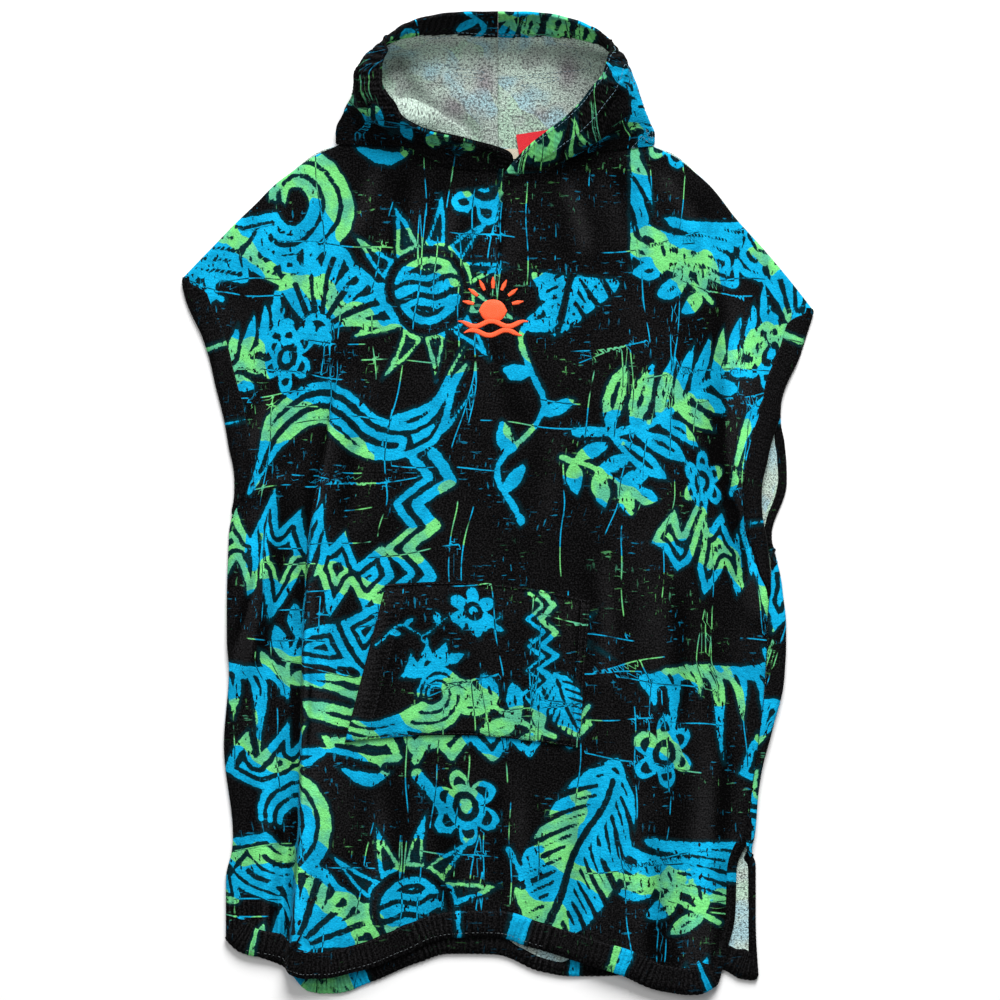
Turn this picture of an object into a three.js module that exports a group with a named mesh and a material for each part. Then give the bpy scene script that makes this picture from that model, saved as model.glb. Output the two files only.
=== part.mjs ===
// Hooded bath poncho in printed terry velour, laid on its back with the hood opening up.
// X runs right and Y runs up to the hood for someone looking down on it; Z is up. Sizes are in millimetres.
// The tables give the sewn outline of the laid garment, the lie of the hood's walls and the largest folds.
import * as THREE from "three";

// Cloth and sewing
const WALL = 3;
const GAP = 0.3;
const SIDE_GAP = 0.9;
const HEM_DEPTH = 25;
const HEM_RISE = 1.5;
const SEAM_STEP = 2;
const THINNEST_EDGE = 1.2;
const PANEL_LENGTH = 800;
const PANEL_WIDTH = 540;

// Heights of the layers above the surface
const BACK_TOP = WALL;
const FRONT_BOTTOM = BACK_TOP + GAP;
const FRONT_TOP = FRONT_BOTTOM + WALL;
const ROLL_RADIUS = 3.6;
const ROLL_START = 4;
const INNER_SLACK = 0.5;

// The front is lifted beside the rolled edge of the back: how far in, from which y to which, and the soft ends
const ROLL_LIFT = { reach: 70, high: -40, low: -372, highSoft: 50, lowSoft: 40, share: 0.95 };

// Where the turned hems beside the armholes and the slit begin, as the y of their ends and the ends' lengths
const HEM_ENDS = { leftHole: 8, rightHole: -45, holeSoft: 20, slit: -345, slitSoft: 10 };

// Small pieces
const TAPE = { width: 10, thick: 1, left: -50, right: 50, middle: 350 };
const LABEL = { left: 19, right: 52, low: 349.5, high: 374, tilt: 5, thick: 1 };
const POCKET_GAP = 0.5;

// Shift that puts the middle of the finished box on the origin
const MIDDLE_Y = -1.2;

// Left edge of both panels: armhole down to the underarm, side seam, then the slit's notch and corner
const LEFT_EDGE = [
  { y: 226, x: -315 },
  { y: 209, x: -312 },
  { y: 164, x: -293 },
  { y: 119, x: -281 },
  { y: 59, x: -268 },
  { y: 14, x: -262 },
  { y: -31, x: -269 },
  { y: -136, x: -271 },
  { y: -166, x: -269 },
  { y: -241, x: -274 },
  { y: -331, x: -265 },
  { y: -346, x: -266 },
  { y: -376, x: -272 },
  { y: -434, x: -272 },
];

// Right edge of the front panel: armhole, side seam and slit
const FRONT_RIGHT_EDGE = [
  { y: 194, x: 315 },
  { y: 149, x: 300 },
  { y: 91, x: 282 },
  { y: 44, x: 268 },
  { y: 1, x: 262 },
  { y: -42, x: 268 },
  { y: -96, x: 271 },
  { y: -156, x: 268 },
  { y: -246, x: 260 },
  { y: -336, x: 247 },
  { y: -366, x: 237 },
  { y: -402, x: 236 },
  { y: -447, x: 227 },
  { y: -480, x: 219 },
];

// Right outline of the back panel, with the width of it that is rolled over onto the front at the side
const BACK_RIGHT_EDGE = [
  { y: 193, x: 315, over: 0 },
  { y: 149, x: 301, over: 0 },
  { y: 84, x: 281, over: 0 },
  { y: 59, x: 285, over: 0 },
  { y: 20, x: 287, over: 0 },
  { y: -31, x: 272, over: 0 },
  { y: -61, x: 279, over: 6 },
  { y: -96, x: 285, over: 14 },
  { y: -136, x: 288, over: 19 },
  { y: -166, x: 287, over: 19 },
  { y: -226, x: 275, over: 13 },
  { y: -286, x: 261, over: 7 },
  { y: -331, x: 257, over: 7 },
  { y: -346, x: 254, over: 4 },
  { y: -361, x: 256, over: 0 },
  { y: -406, x: 256, over: 0 },
  { y: -475, x: 259, over: 0 },
];

// Top edge of both panels: left shoulder, neckline of the front and of the back, right shoulder
const LEFT_SHOULDER = [
  { x: -315, y: 226 },
  { x: -288, y: 254 },
  { x: -243, y: 299 },
  { x: -210, y: 329 },
  { x: -161, y: 358 },
];
const FRONT_NECK = [
  { x: -150, y: 362 },
  { x: -123, y: 366 },
  { x: -98, y: 363 },
  { x: -79, y: 354 },
  { x: -54, y: 342 },
  { x: 6, y: 338 },
  { x: 45, y: 341 },
  { x: 80, y: 355 },
  { x: 108, y: 364 },
  { x: 144, y: 362 },
];
const BACK_NECK = [
  { x: -150, y: 360 },
  { x: -98, y: 354 },
  { x: 0, y: 352.4 },
  { x: 98, y: 354 },
  { x: 144, y: 360 },
];
const RIGHT_SHOULDER = [
  { x: 156, y: 357 },
  { x: 200, y: 329 },
  { x: 239, y: 284 },
  { x: 279, y: 239 },
  { x: 315, y: 194 },
];

// Bottom edges: the front hem steps down at the left fold, and the back hem follows it further down
const FRONT_HEM = [
  { x: -272, y: -434 },
  { x: -253, y: -448 },
  { x: -216, y: -456 },
  { x: -208, y: -468 },
  { x: -186, y: -472 },
  { x: -144, y: -466 },
  { x: -95, y: -449 },
  { x: -42, y: -432 },
  { x: -10, y: -431 },
  { x: 28, y: -440 },
  { x: 84, y: -457 },
  { x: 122, y: -468.5 },
  { x: 172, y: -486.5 },
  { x: 196, y: -488.4 },
  { x: 219, y: -480 },
];
const BACK_HEM = [
  { x: -271, y: -432 },
  { x: -242, y: -450 },
  { x: -212, y: -462 },
  { x: -189, y: -485.5 },
  { x: -172, y: -487.5 },
  { x: -130, y: -477 },
  { x: -78, y: -456 },
  { x: -42, y: -448 },
  { x: -5, y: -448.5 },
  { x: 42, y: -465.5 },
  { x: 84, y: -470.3 },
  { x: 162, y: -467 },
  { x: 224, y: -464 },
  { x: 242, y: -473 },
  { x: 259, y: -475 },
];

// Folds of the front panel. Each runs down the cloth; low and high are its widths left and right of its crest.
const FOLDS = [
  {
    name: "long fold left of the pocket, steep on its left side",
    low: 5,
    high: 85,
    run: [
      { y: 150, x: -153, rise: 0 },
      { y: 54, x: -170, rise: 3 },
      { y: -68, x: -188, rise: 6 },
      { y: -200, x: -193, rise: 8 },
      { y: -286, x: -195, rise: 10 },
      { y: -461, x: -207, rise: 13 },
    ],
  },
  {
    name: "crease from the left underarm to the side seam",
    low: 24,
    high: 7,
    run: [
      { y: 10, x: -226, rise: 0 },
      { y: -60, x: -236, rise: 4 },
      { y: -130, x: -247, rise: 4.5 },
      { y: -185, x: -262, rise: 0 },
    ],
  },
  {
    name: "roll along the right armhole",
    low: 14,
    high: 44,
    run: [
      { y: 290, x: 208, rise: 0 },
      { y: 180, x: 226, rise: 4 },
      { y: 54, x: 240, rise: 9 },
      { y: -56, x: 256, rise: 6 },
      { y: -120, x: 262, rise: 0 },
    ],
  },
  {
    name: "broad swell right of the pocket",
    low: 60,
    high: 48,
    run: [
      { y: 240, x: 130, rise: 0 },
      { y: 60, x: 146, rise: 4 },
      { y: -196, x: 142, rise: 5 },
      { y: -490, x: 118, rise: 6 },
    ],
  },
  {
    name: "flute at the right end of the hem",
    low: 24,
    high: 18,
    run: [
      { y: -180, x: 200, rise: 0 },
      { y: -330, x: 203, rise: 5 },
      { y: -490, x: 196, rise: 9 },
    ],
  },
  {
    name: "swell over the chest",
    low: 70,
    high: 90,
    run: [
      { y: 320, x: -60, rise: 0 },
      { y: 180, x: -70, rise: 3.5 },
      { y: -40, x: -60, rise: 3 },
      { y: -300, x: -50, rise: 0 },
    ],
  },
];

// Hood walls, as the middle of the cloth. Each row runs from the opening's edge over the turned strip's
// outer edge, the side, the outermost bulge, the foot inside, the bed on the surface, to the centre seam.
// The first row is the neck seam, and the last two rows are the band over the forehead.
const HOOD_COLUMNS = ["rim", "lip", "side", "out", "foot", "bed", "seam"];
const HOOD_LEFT = [
  {
    rim: [16, 336, 10], lip: [-40, 337, 9.5], side: [-98, 358, 8.6], out: [-160, 363, 6],
    foot: [-141, 362, 1.5], bed: [-60, 353.2, 1.5], seam: [-0.3, 352.8, 1.5],
  },
  {
    rim: [15, 346, 19], lip: [-40, 351, 17], side: [-98, 366, 12], out: [-160, 370, 9],
    foot: [-139, 370, 1.5], bed: [-50, 364, 1.5], seam: [-0.3, 366, 1.5],
  },
  {
    rim: [-30, 363, 32], lip: [-78, 364, 25], side: [-115, 377, 20], out: [-156, 384, 13],
    foot: [-92, 377, 12], bed: [-52, 384, 1.6], seam: [-0.3, 382, 1.5],
  },
  {
    rim: [-80, 376, 43], lip: [-116, 381, 35], side: [-136, 391, 28], out: [-151, 397, 18],
    foot: [-98, 394, 17], bed: [-66, 400, 2], seam: [-0.3, 398, 1.5],
  },
  {
    rim: [-102, 399, 51], lip: [-132, 396, 44], side: [-141, 401, 35], out: [-145, 408, 22],
    foot: [-108, 409, 9], bed: [-76, 414, 1.6], seam: [-0.3, 414, 1.5],
  },
  {
    rim: [-115, 425, 57], lip: [-138, 419, 51], side: [-142, 421, 41], out: [-140, 425, 27],
    foot: [-112, 426, 3.5], bed: [-70, 429, 1.5], seam: [-0.3, 430, 1.5],
  },
  {
    rim: [-113, 442, 59], lip: [-133, 437, 54], side: [-136, 437, 45], out: [-133, 439, 32],
    foot: [-98, 442, 8], bed: [-58, 445, 5], seam: [-0.3, 447, 5],
  },
  {
    rim: [-109, 451, 59], lip: [-123, 451, 53], side: [-118, 452, 46], out: [-106, 454, 38],
    foot: [-74, 460, 29], bed: [-40, 464, 27], seam: [-0.3, 465, 27],
  },
  {
    rim: [-115, 458, 58], lip: [-106, 464, 54], side: [-95, 469, 51], out: [-78, 474, 47],
    foot: [-50, 479, 44], bed: [-25, 481, 43], seam: [-0.3, 481, 43],
  },
  {
    rim: [-111, 464, 57], lip: [-100, 472, 56], side: [-86, 479, 56], out: [-64, 485, 55],
    foot: [-42, 488, 55], bed: [-20, 489, 55], seam: [-0.3, 489, 55],
  },
];
const HOOD_RIGHT = [
  {
    rim: [6, 330, 16], lip: [32, 331, 13.5], side: [76, 349, 9.5], out: [153, 364, 5.5],
    foot: [135, 362, 1.5], bed: [60, 353.2, 1.5], seam: [0.3, 352.8, 1.5],
  },
  {
    rim: [25, 352, 26], lip: [54, 341, 20], side: [96, 358, 14], out: [154, 368, 9],
    foot: [134, 369, 1.5], bed: [60, 365, 1.5], seam: [0.3, 366, 1.5],
  },
  {
    rim: [48, 371, 37], lip: [80, 355, 30], side: [110, 370, 22], out: [151, 379, 14],
    foot: [116, 379, 1.5], bed: [62, 380, 1.5], seam: [0.3, 382, 1.5],
  },
  {
    rim: [72, 390, 46], lip: [101, 373, 38], side: [124, 383, 29], out: [146, 392, 19],
    foot: [116, 392, 1.5], bed: [64, 397, 1.5], seam: [0.3, 398, 1.5],
  },
  {
    rim: [91, 412, 53], lip: [113, 400, 46], side: [129, 402, 36], out: [141, 407, 23],
    foot: [112, 407, 1.5], bed: [66, 412, 1.5], seam: [0.3, 414, 1.5],
  },
  {
    rim: [105, 431, 58], lip: [120, 421, 53], side: [130, 421, 43], out: [134, 425, 28],
    foot: [104, 426, 2], bed: [64, 429, 1.5], seam: [0.3, 430, 1.5],
  },
  {
    rim: [108, 442, 60], lip: [122, 439, 56], side: [126, 438, 47], out: [124, 440, 33],
    foot: [92, 442, 8], bed: [52, 445, 5], seam: [0.3, 447, 5],
  },
  {
    rim: [111, 450, 59], lip: [118, 450, 54], side: [112, 451, 46], out: [100, 452, 38],
    foot: [68, 459, 29], bed: [36, 463, 27], seam: [0.3, 465, 27],
  },
  {
    rim: [114, 456, 58], lip: [106, 462, 54], side: [96, 467, 51], out: [78, 473, 47],
    foot: [50, 479, 44], bed: [25, 481, 43], seam: [0.3, 481, 43],
  },
  {
    rim: [112, 460, 57], lip: [102, 468, 56], side: [89, 475, 56], out: [66, 483, 55],
    foot: [42, 487.5, 55], bed: [20, 489, 55], seam: [0.3, 489, 55],
  },
];

// Kangaroo pocket: corners from the upper left, clockwise, and how far the top and bottom edges bow
const POCKET = {
  corners: [[-112, -80], [92, -96], [81, -244], [-153, -238]],
  topBow: 9,
  bottomBow: 10,
};

// Grid densities
const FRONT_ROWS = 30;
const FRONT_HEM_ROWS = 3;
const STEPS_LEFT_OF_FOLD = 3;
const STEPS_RIGHT_OF_FOLD = 15;
const FOLD_FACE = 7;
const FOLD_LOOKUP_SHARE = 0.2;
const BACK_ROWS = 26;
const BACK_STEPS = 15;
const ROLL_STEPS = 8;
const HOOD_ROWS = 20;
const HOOD_STEPS = 24;
const HOOD_STRIP_SHARE = 0.18;
const HOOD_BAND_SHARE = 0.2;
const POCKET_ROWS = 9;
const POCKET_STEPS = 13;

const clamp01 = (t) => Math.min(1, Math.max(0, t));
const mix = (a, b, t) => a + (b - a) * t;
const ease = (t) => clamp01(t) ** 2 * (3 - 2 * clamp01(t));

// A smooth curve through values at rising stations that never overshoots them.
function curveThrough(stations, values) {
  const last = stations.length - 1;
  const rate = (i) => (values[i + 1] - values[i]) / (stations[i + 1] - stations[i]);
  const slope = (i) => {
    if (i === 0) return rate(0);
    if (i === last) return rate(last - 1);
    const before = rate(i - 1);
    const after = rate(i);
    return before * after <= 0 ? 0 : (2 * before * after) / (before + after);
  };
  return (at) => {
    if (at <= stations[0]) return values[0];
    if (at >= stations[last]) return values[last];
    let i = 0;
    while (at > stations[i + 1]) i += 1;
    const span = stations[i + 1] - stations[i];
    const t = (at - stations[i]) / span;
    const start = values[i] + t * span * slope(i);
    const end = values[i + 1] - (1 - t) * span * slope(i + 1);
    return mix(start, end, t * t * (3 - 2 * t));
  };
}

// One named column of a table as a curve over another, whichever way the table is ordered.
function columnCurve(table, over, column) {
  const rows = [...table].sort((a, b) => a[over] - b[over]);
  return curveThrough(rows.map((row) => row[over]), rows.map((row) => row[column]));
}

const leftEdge = columnCurve(LEFT_EDGE, "y", "x");
const backRightEdge = columnCurve(BACK_RIGHT_EDGE, "y", "x");
const backOver = columnCurve(BACK_RIGHT_EDGE, "y", "over");
const openRightEdge = columnCurve(FRONT_RIGHT_EDGE, "y", "x");
// Where the back panel is rolled over, the front panel ends at its edge.
const frontRightEdge = (y) => Math.min(openRightEdge(y), backRightEdge(y) - backOver(y) - SIDE_GAP);
const frontTopEdge = columnCurve([...LEFT_SHOULDER, ...FRONT_NECK, ...RIGHT_SHOULDER], "x", "y");
const backTopEdge = columnCurve([...LEFT_SHOULDER, ...BACK_NECK, ...RIGHT_SHOULDER], "x", "y");
const frontHem = columnCurve(FRONT_HEM, "x", "y");
const backHem = columnCurve(BACK_HEM, "x", "y");
const foldCurves = FOLDS.map((fold) => ({
  ...fold,
  place: columnCurve(fold.run, "y", "x"),
  rise: columnCurve(fold.run, "y", "rise"),
}));

// A panel's plan, blended from its four edges: u runs from left to right and v from the top edge to the hem.
function panelPlan(left, right, top, hem) {
  const ends = (table) => [table[0], table[table.length - 1]];
  const [topLeft, hemLeft] = ends(left.table);
  const [topRight, hemRight] = ends(right.table);
  return (u, v) => {
    const topX = mix(topLeft.x, topRight.x, u);
    const hemX = mix(hemLeft.x, hemRight.x, u);
    const leftY = mix(topLeft.y, hemLeft.y, v);
    const rightY = mix(topRight.y, hemRight.y, v);
    const across = mix(left.at(leftY), right.at(rightY), u);
    const down = mix(top(topX), hem(hemX), v);
    const cornerX = mix(topX, hemX, v);
    const straightX = mix(mix(topLeft.x, hemLeft.x, v), mix(topRight.x, hemRight.x, v), u);
    const straightY = mix(mix(topLeft.y, topRight.y, u), mix(hemLeft.y, hemRight.y, u), v);
    return { x: across + cornerX - straightX, y: down + mix(leftY, rightY, u) - straightY };
  };
}

const frontPlan = panelPlan(
  { table: LEFT_EDGE, at: leftEdge },
  { table: FRONT_RIGHT_EDGE, at: frontRightEdge },
  frontTopEdge,
  frontHem,
);
const backPlan = panelPlan(
  { table: LEFT_EDGE, at: leftEdge },
  { table: BACK_RIGHT_EDGE, at: backRightEdge },
  backTopEdge,
  backHem,
);

// Height of the front panel's upper face, without its hems
function frontHeight(x, y) {
  const { reach, high, low, highSoft, lowSoft, share } = ROLL_LIFT;
  const near = ease(1 - (frontRightEdge(y) - x) / reach);
  const besideRoll = near * ease((high - y) / highSoft) * ease((y - low) / lowSoft);
  let z = FRONT_TOP + 2 * (ROLL_RADIUS - WALL / 2) * besideRoll * share;
  for (const fold of foldCurves) {
    const away = x - fold.place(y);
    const width = away < 0 ? fold.low : fold.high;
    z += fold.rise(y) * Math.exp(-((away / width) ** 2));
  }
  return z;
}

// Unit normals of a grid of points, from the neighbours along both directions
function gridNormals(grid) {
  const rows = grid.length;
  const columns = grid[0].length;
  return grid.map((row, i) =>
    row.map((point, j) => {
      const down = grid[Math.min(i + 1, rows - 1)][j].clone().sub(grid[Math.max(i - 1, 0)][j]);
      const right = grid[i][Math.min(j + 1, columns - 1)].clone().sub(grid[i][Math.max(j - 1, 0)]);
      return right.cross(down).normalize();
    }),
  );
}

// A closed wall between two grids of the same size
function wallBetween(upper, lower) {
  const rows = upper.length;
  const columns = upper[0].length;
  const positions = [...upper.flat(), ...lower.flat()].flatMap((point) => [point.x, point.y, point.z]);
  const above = (i, j) => i * columns + j;
  const below = (i, j) => rows * columns + i * columns + j;
  const faces = [];
  const quad = (a, b, c, d) => faces.push(a, b, c, a, c, d);
  for (let i = 0; i + 1 < rows; i += 1) {
    for (let j = 0; j + 1 < columns; j += 1) {
      quad(above(i, j), above(i + 1, j), above(i + 1, j + 1), above(i, j + 1));
      quad(below(i, j), below(i, j + 1), below(i + 1, j + 1), below(i + 1, j));
    }
    quad(above(i, 0), below(i, 0), below(i + 1, 0), above(i + 1, 0));
    quad(above(i, columns - 1), above(i + 1, columns - 1), below(i + 1, columns - 1), below(i, columns - 1));
  }
  for (let j = 0; j + 1 < columns; j += 1) {
    quad(above(0, j), above(0, j + 1), below(0, j + 1), below(0, j));
    quad(above(rows - 1, j), below(rows - 1, j), below(rows - 1, j + 1), above(rows - 1, j + 1));
  }
  const geometry = new THREE.BufferGeometry();
  geometry.setAttribute("position", new THREE.Float32BufferAttribute(positions, 3));
  geometry.setIndex(faces);
  geometry.computeVertexNormals();
  return geometry;
}

function cloth(color, roughness = 0.95) {
  return new THREE.MeshStandardMaterial({ color, roughness, metalness: 0 });
}

function piece(name, geometry, material) {
  const mesh = new THREE.Mesh(geometry, material);
  mesh.name = name;
  return mesh;
}

// Stations across a panel: close together at the edges for the hems, and on both sides of a fold.
function stationsAcross(hemShare, stepShare, foldShare, faceShare) {
  const stations = [0, hemShare / 2, hemShare, hemShare + stepShare];
  const before = stations[3];
  for (let k = 1; k < STEPS_LEFT_OF_FOLD; k += 1) {
    stations.push(mix(before, foldShare - faceShare, k / STEPS_LEFT_OF_FOLD));
  }
  stations.push(foldShare - faceShare, foldShare - faceShare / 2, foldShare, foldShare + faceShare / 2);
  const start = foldShare + faceShare / 2;
  const end = 1 - hemShare - stepShare;
  for (let k = 1; k <= STEPS_RIGHT_OF_FOLD; k += 1) {
    stations.push(mix(start, end, k / STEPS_RIGHT_OF_FOLD));
  }
  stations.push(1 - hemShare, 1 - hemShare / 2, 1);
  return stations;
}

// How far a point stands inside a turned hem, from 0 on plain cloth to 1 on the hem
const hemShareAt = (distance) => ease((HEM_DEPTH + SEAM_STEP - distance) / SEAM_STEP);

function makeFrontPanel() {
  const foldPlace = foldCurves[0].place;
  const upper = [];
  for (let i = 0; i <= FRONT_ROWS; i += 1) {
    const plainRows = FRONT_ROWS - FRONT_HEM_ROWS;
    const hemStart = 1 - (HEM_DEPTH + SEAM_STEP) / PANEL_LENGTH;
    const v = i <= plainRows
      ? (i / plainRows) * hemStart
      : mix(1 - HEM_DEPTH / PANEL_LENGTH, 1, (i - plainRows - 1) / (FRONT_HEM_ROWS - 1));
    const leftPoint = frontPlan(0, v);
    const rightPoint = frontPlan(1, v);
    const width = rightPoint.x - leftPoint.x;
    const foldY = frontPlan(FOLD_LOOKUP_SHARE, v).y;
    const foldShare = (foldPlace(foldY) - leftPoint.x) / width;
    const stations = stationsAcross(HEM_DEPTH / width, SEAM_STEP / width, foldShare, FOLD_FACE / width);
    upper.push(
      stations.map((u) => {
        const { x, y } = frontPlan(u, v);
        const fromLeft = x - leftEdge(y);
        const fromRight = frontRightEdge(y) - x;
        const besideArm = Math.max(
          hemShareAt(fromLeft) * ease((y - HEM_ENDS.leftHole) / HEM_ENDS.holeSoft),
          hemShareAt(fromRight) * ease((y - HEM_ENDS.rightHole) / HEM_ENDS.holeSoft),
          hemShareAt(fromRight) * ease((HEM_ENDS.slit - y) / HEM_ENDS.slitSoft),
        );
        const atHem = hemShareAt((1 - v) * PANEL_LENGTH);
        const z = frontHeight(x, y) + HEM_RISE * Math.max(besideArm, atHem);
        return new THREE.Vector3(x, y, z);
      }),
    );
  }
  const normals = gridNormals(upper);
  const lower = upper.map((row, i) =>
    row.map((point, j) => {
      const under = point.clone().addScaledVector(normals[i][j], -Math.sign(normals[i][j].z) * WALL);
      under.z = Math.max(FRONT_BOTTOM, Math.min(under.z, point.z - THINNEST_EDGE));
      return under;
    }),
  );
  return piece("front_panel", wallBetween(upper, lower), cloth(0x14191c));
}

// The back panel lies flat, and its right edge rolls up and over between the armhole and the slit.
function makeBackPanel() {
  const flatEnd = 1 - (ROLL_RADIUS + WALL / 2 + 1) / PANEL_WIDTH;
  const arc = Math.PI * ROLL_RADIUS;
  const middle = [];
  for (let i = 0; i <= BACK_ROWS; i += 1) {
    const v = i / BACK_ROWS;
    const row = [];
    const edge = backPlan(1, v);
    const over = backOver(edge.y);
    const rolled = ease(over / ROLL_START);
    const centreX = edge.x - ROLL_RADIUS - WALL / 2;
    for (let j = 0; j <= BACK_STEPS + ROLL_STEPS; j += 1) {
      if (j <= BACK_STEPS) {
        const { x, y } = backPlan((j / BACK_STEPS) * flatEnd, v);
        row.push(new THREE.Vector3(x + (1 - j / BACK_STEPS) * INNER_SLACK, y, WALL / 2));
        continue;
      }
      const share = (j - BACK_STEPS) / ROLL_STEPS;
      const flatPoint = backPlan(mix(flatEnd, 1, share), v);
      const along = share * (arc + Math.max(0, over - ROLL_RADIUS - WALL / 2));
      const angle = Math.min(along / ROLL_RADIUS, Math.PI);
      const past = Math.max(0, along - arc);
      const x = centreX + ROLL_RADIUS * Math.sin(angle) - past;
      const z = WALL / 2 + ROLL_RADIUS * (1 - Math.cos(angle));
      row.push(
        new THREE.Vector3(mix(flatPoint.x, x, rolled), flatPoint.y, mix(WALL / 2, z, rolled)),
      );
    }
    middle.push(row);
  }
  return piece("back_panel", thicken(middle, () => WALL), cloth(0x12171a));
}

// A wall of the given thickness around a grid of middle points, kept on or above the surface
function thicken(middle, thickness) {
  const normals = gridNormals(middle);
  const side = (sign) =>
    middle.map((row, i) =>
      row.map((point, j) => {
        const moved = point.clone().addScaledVector(normals[i][j], (sign * thickness(i, j)) / 2);
        moved.z = Math.max(0, moved.z);
        return moved;
      }),
    );
  return wallBetween(side(-1), side(1));
}

// Half of the hood. Its opening's edge carries a turned hem, thicker than the plain wall.
function makeHoodHalf(name, table, mirrored, color) {
  const index = (list) => list.map((_, k) => k);
  const rowPoints = table.map((row) => {
    const curves = [0, 1, 2].map((axis) =>
      curveThrough(index(HOOD_COLUMNS), HOOD_COLUMNS.map((column) => row[column][axis])),
    );
    return (s) => curves.map((curve) => curve(s * (HOOD_COLUMNS.length - 1)));
  });
  const middle = [];
  for (let i = 0; i <= HOOD_ROWS; i += 1) middle.push([]);
  for (let j = 0; j <= HOOD_STEPS; j += 1) {
    const s = (mirrored ? HOOD_STEPS - j : j) / HOOD_STEPS;
    const samples = rowPoints.map((at) => at(s));
    const curves = [0, 1, 2].map((axis) => curveThrough(index(samples), samples.map((p) => p[axis])));
    for (let i = 0; i <= HOOD_ROWS; i += 1) {
      const r = (1 - i / HOOD_ROWS) * (table.length - 1);
      middle[i].push(new THREE.Vector3(...curves.map((curve) => curve(r))));
    }
  }
  const thickness = (i, j) => {
    const fromRim = (mirrored ? HOOD_STEPS - j : j) / HOOD_STEPS;
    const fromBand = i / HOOD_ROWS;
    return fromRim < HOOD_STRIP_SHARE || fromBand < HOOD_BAND_SHARE ? WALL + HEM_RISE : WALL;
  };
  return piece(name, thicken(middle, thickness), cloth(color));
}

// The pocket lies on the front panel, so its points are the panel's, moved out.
function makePocket() {
  const [topLeft, topRight, lowRight, lowLeft] = POCKET.corners;
  const grid = (lift) => {
    const rows = [];
    for (let i = 0; i <= POCKET_ROWS; i += 1) {
      const v = i / POCKET_ROWS;
      const row = [];
      for (let j = 0; j <= POCKET_STEPS; j += 1) {
        const u = j / POCKET_STEPS;
        const bow = Math.sin(Math.PI * u) * mix(POCKET.topBow, POCKET.bottomBow, v);
        const x = mix(mix(topLeft[0], topRight[0], u), mix(lowLeft[0], lowRight[0], u), v);
        const y = mix(mix(topLeft[1], topRight[1], u), mix(lowLeft[1], lowRight[1], u), v) + bow;
        row.push(new THREE.Vector3(x, y, frontHeight(x, y) + lift));
      }
      rows.push(row);
    }
    return rows;
  };
  return piece("kangaroo_pocket", wallBetween(grid(POCKET_GAP + WALL), grid(POCKET_GAP)), cloth(0x101416));
}

// A thin flat strip or tab above the bed of the hood
function makeFlatTab(name, corners, bottom, thick, color) {
  const [topLeft, topRight, lowRight, lowLeft] = corners;
  const grid = (z) => [
    [new THREE.Vector3(...topLeft, z), new THREE.Vector3(...topRight, z)],
    [new THREE.Vector3(...lowLeft, z), new THREE.Vector3(...lowRight, z)],
  ];
  return piece(name, wallBetween(grid(bottom + thick), grid(bottom)), cloth(color, 0.8));
}

function makeNeckTape() {
  const high = TAPE.middle + TAPE.width / 2;
  const low = TAPE.middle - TAPE.width / 2;
  const corners = [[TAPE.left, high], [TAPE.right, high], [TAPE.right, low], [TAPE.left, low]];
  return makeFlatTab("neck_tape", corners, BACK_TOP + GAP, TAPE.thick, 0xbdb29f);
}

// The label is sewn onto the tape and lies on it.
function makeNeckLabel() {
  const { left, right, low, high, tilt, thick } = LABEL;
  const corners = [[left - 1, high - tilt], [right - 2, high], [right, low + tilt / 2], [left + 2, low]];
  const bottom = BACK_TOP + GAP + TAPE.thick + GAP;
  return makeFlatTab("neck_label", corners, bottom, thick, 0xc8141e);
}

const poncho = new THREE.Group();
poncho.name = "hooded_bath_poncho";
poncho.position.y = MIDDLE_Y;
poncho.add(
  makeBackPanel(),
  makeFrontPanel(),
  makeHoodHalf("hood_left", HOOD_LEFT, false, 0x1b2a30),
  makeHoodHalf("hood_right", HOOD_RIGHT, true, 0x1b3038),
  makePocket(),
  makeNeckTape(),
  makeNeckLabel(),
);

export default poncho;
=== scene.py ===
# Looks of a hooded bath poncho in printed terry velour, laid on its back with the hood opening up.
# Sizes in the tables and in the cloth's own working are millimetres; meshes are made in metres.
import math

import bpy
import numpy as np
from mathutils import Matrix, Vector


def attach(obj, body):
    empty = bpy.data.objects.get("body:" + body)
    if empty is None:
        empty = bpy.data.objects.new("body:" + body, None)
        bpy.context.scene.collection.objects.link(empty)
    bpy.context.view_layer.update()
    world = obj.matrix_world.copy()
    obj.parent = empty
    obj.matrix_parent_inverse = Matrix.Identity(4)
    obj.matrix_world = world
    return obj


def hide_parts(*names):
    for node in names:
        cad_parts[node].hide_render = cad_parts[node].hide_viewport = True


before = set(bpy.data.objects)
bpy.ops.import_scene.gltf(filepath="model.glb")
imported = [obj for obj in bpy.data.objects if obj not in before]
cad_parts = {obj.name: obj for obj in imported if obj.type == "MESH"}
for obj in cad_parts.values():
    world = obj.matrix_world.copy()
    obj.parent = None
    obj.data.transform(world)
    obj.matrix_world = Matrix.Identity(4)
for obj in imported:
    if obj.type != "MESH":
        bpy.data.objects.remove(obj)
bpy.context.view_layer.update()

MM = 0.001
SEED = 41

# Cloth and sewing
WALL = 3.0
GAP = 0.3
HEM_DEPTH = 25.0
HEM_RISE = 1.5
ROLL_RADIUS = 3.6
SIDE_GAP = 0.3
FRONT_TOP = WALL + GAP + WALL
POCKET_GAP = 0.5
INNER_LOW = 0.3
MIDDLE_Y = -1.2

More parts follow.
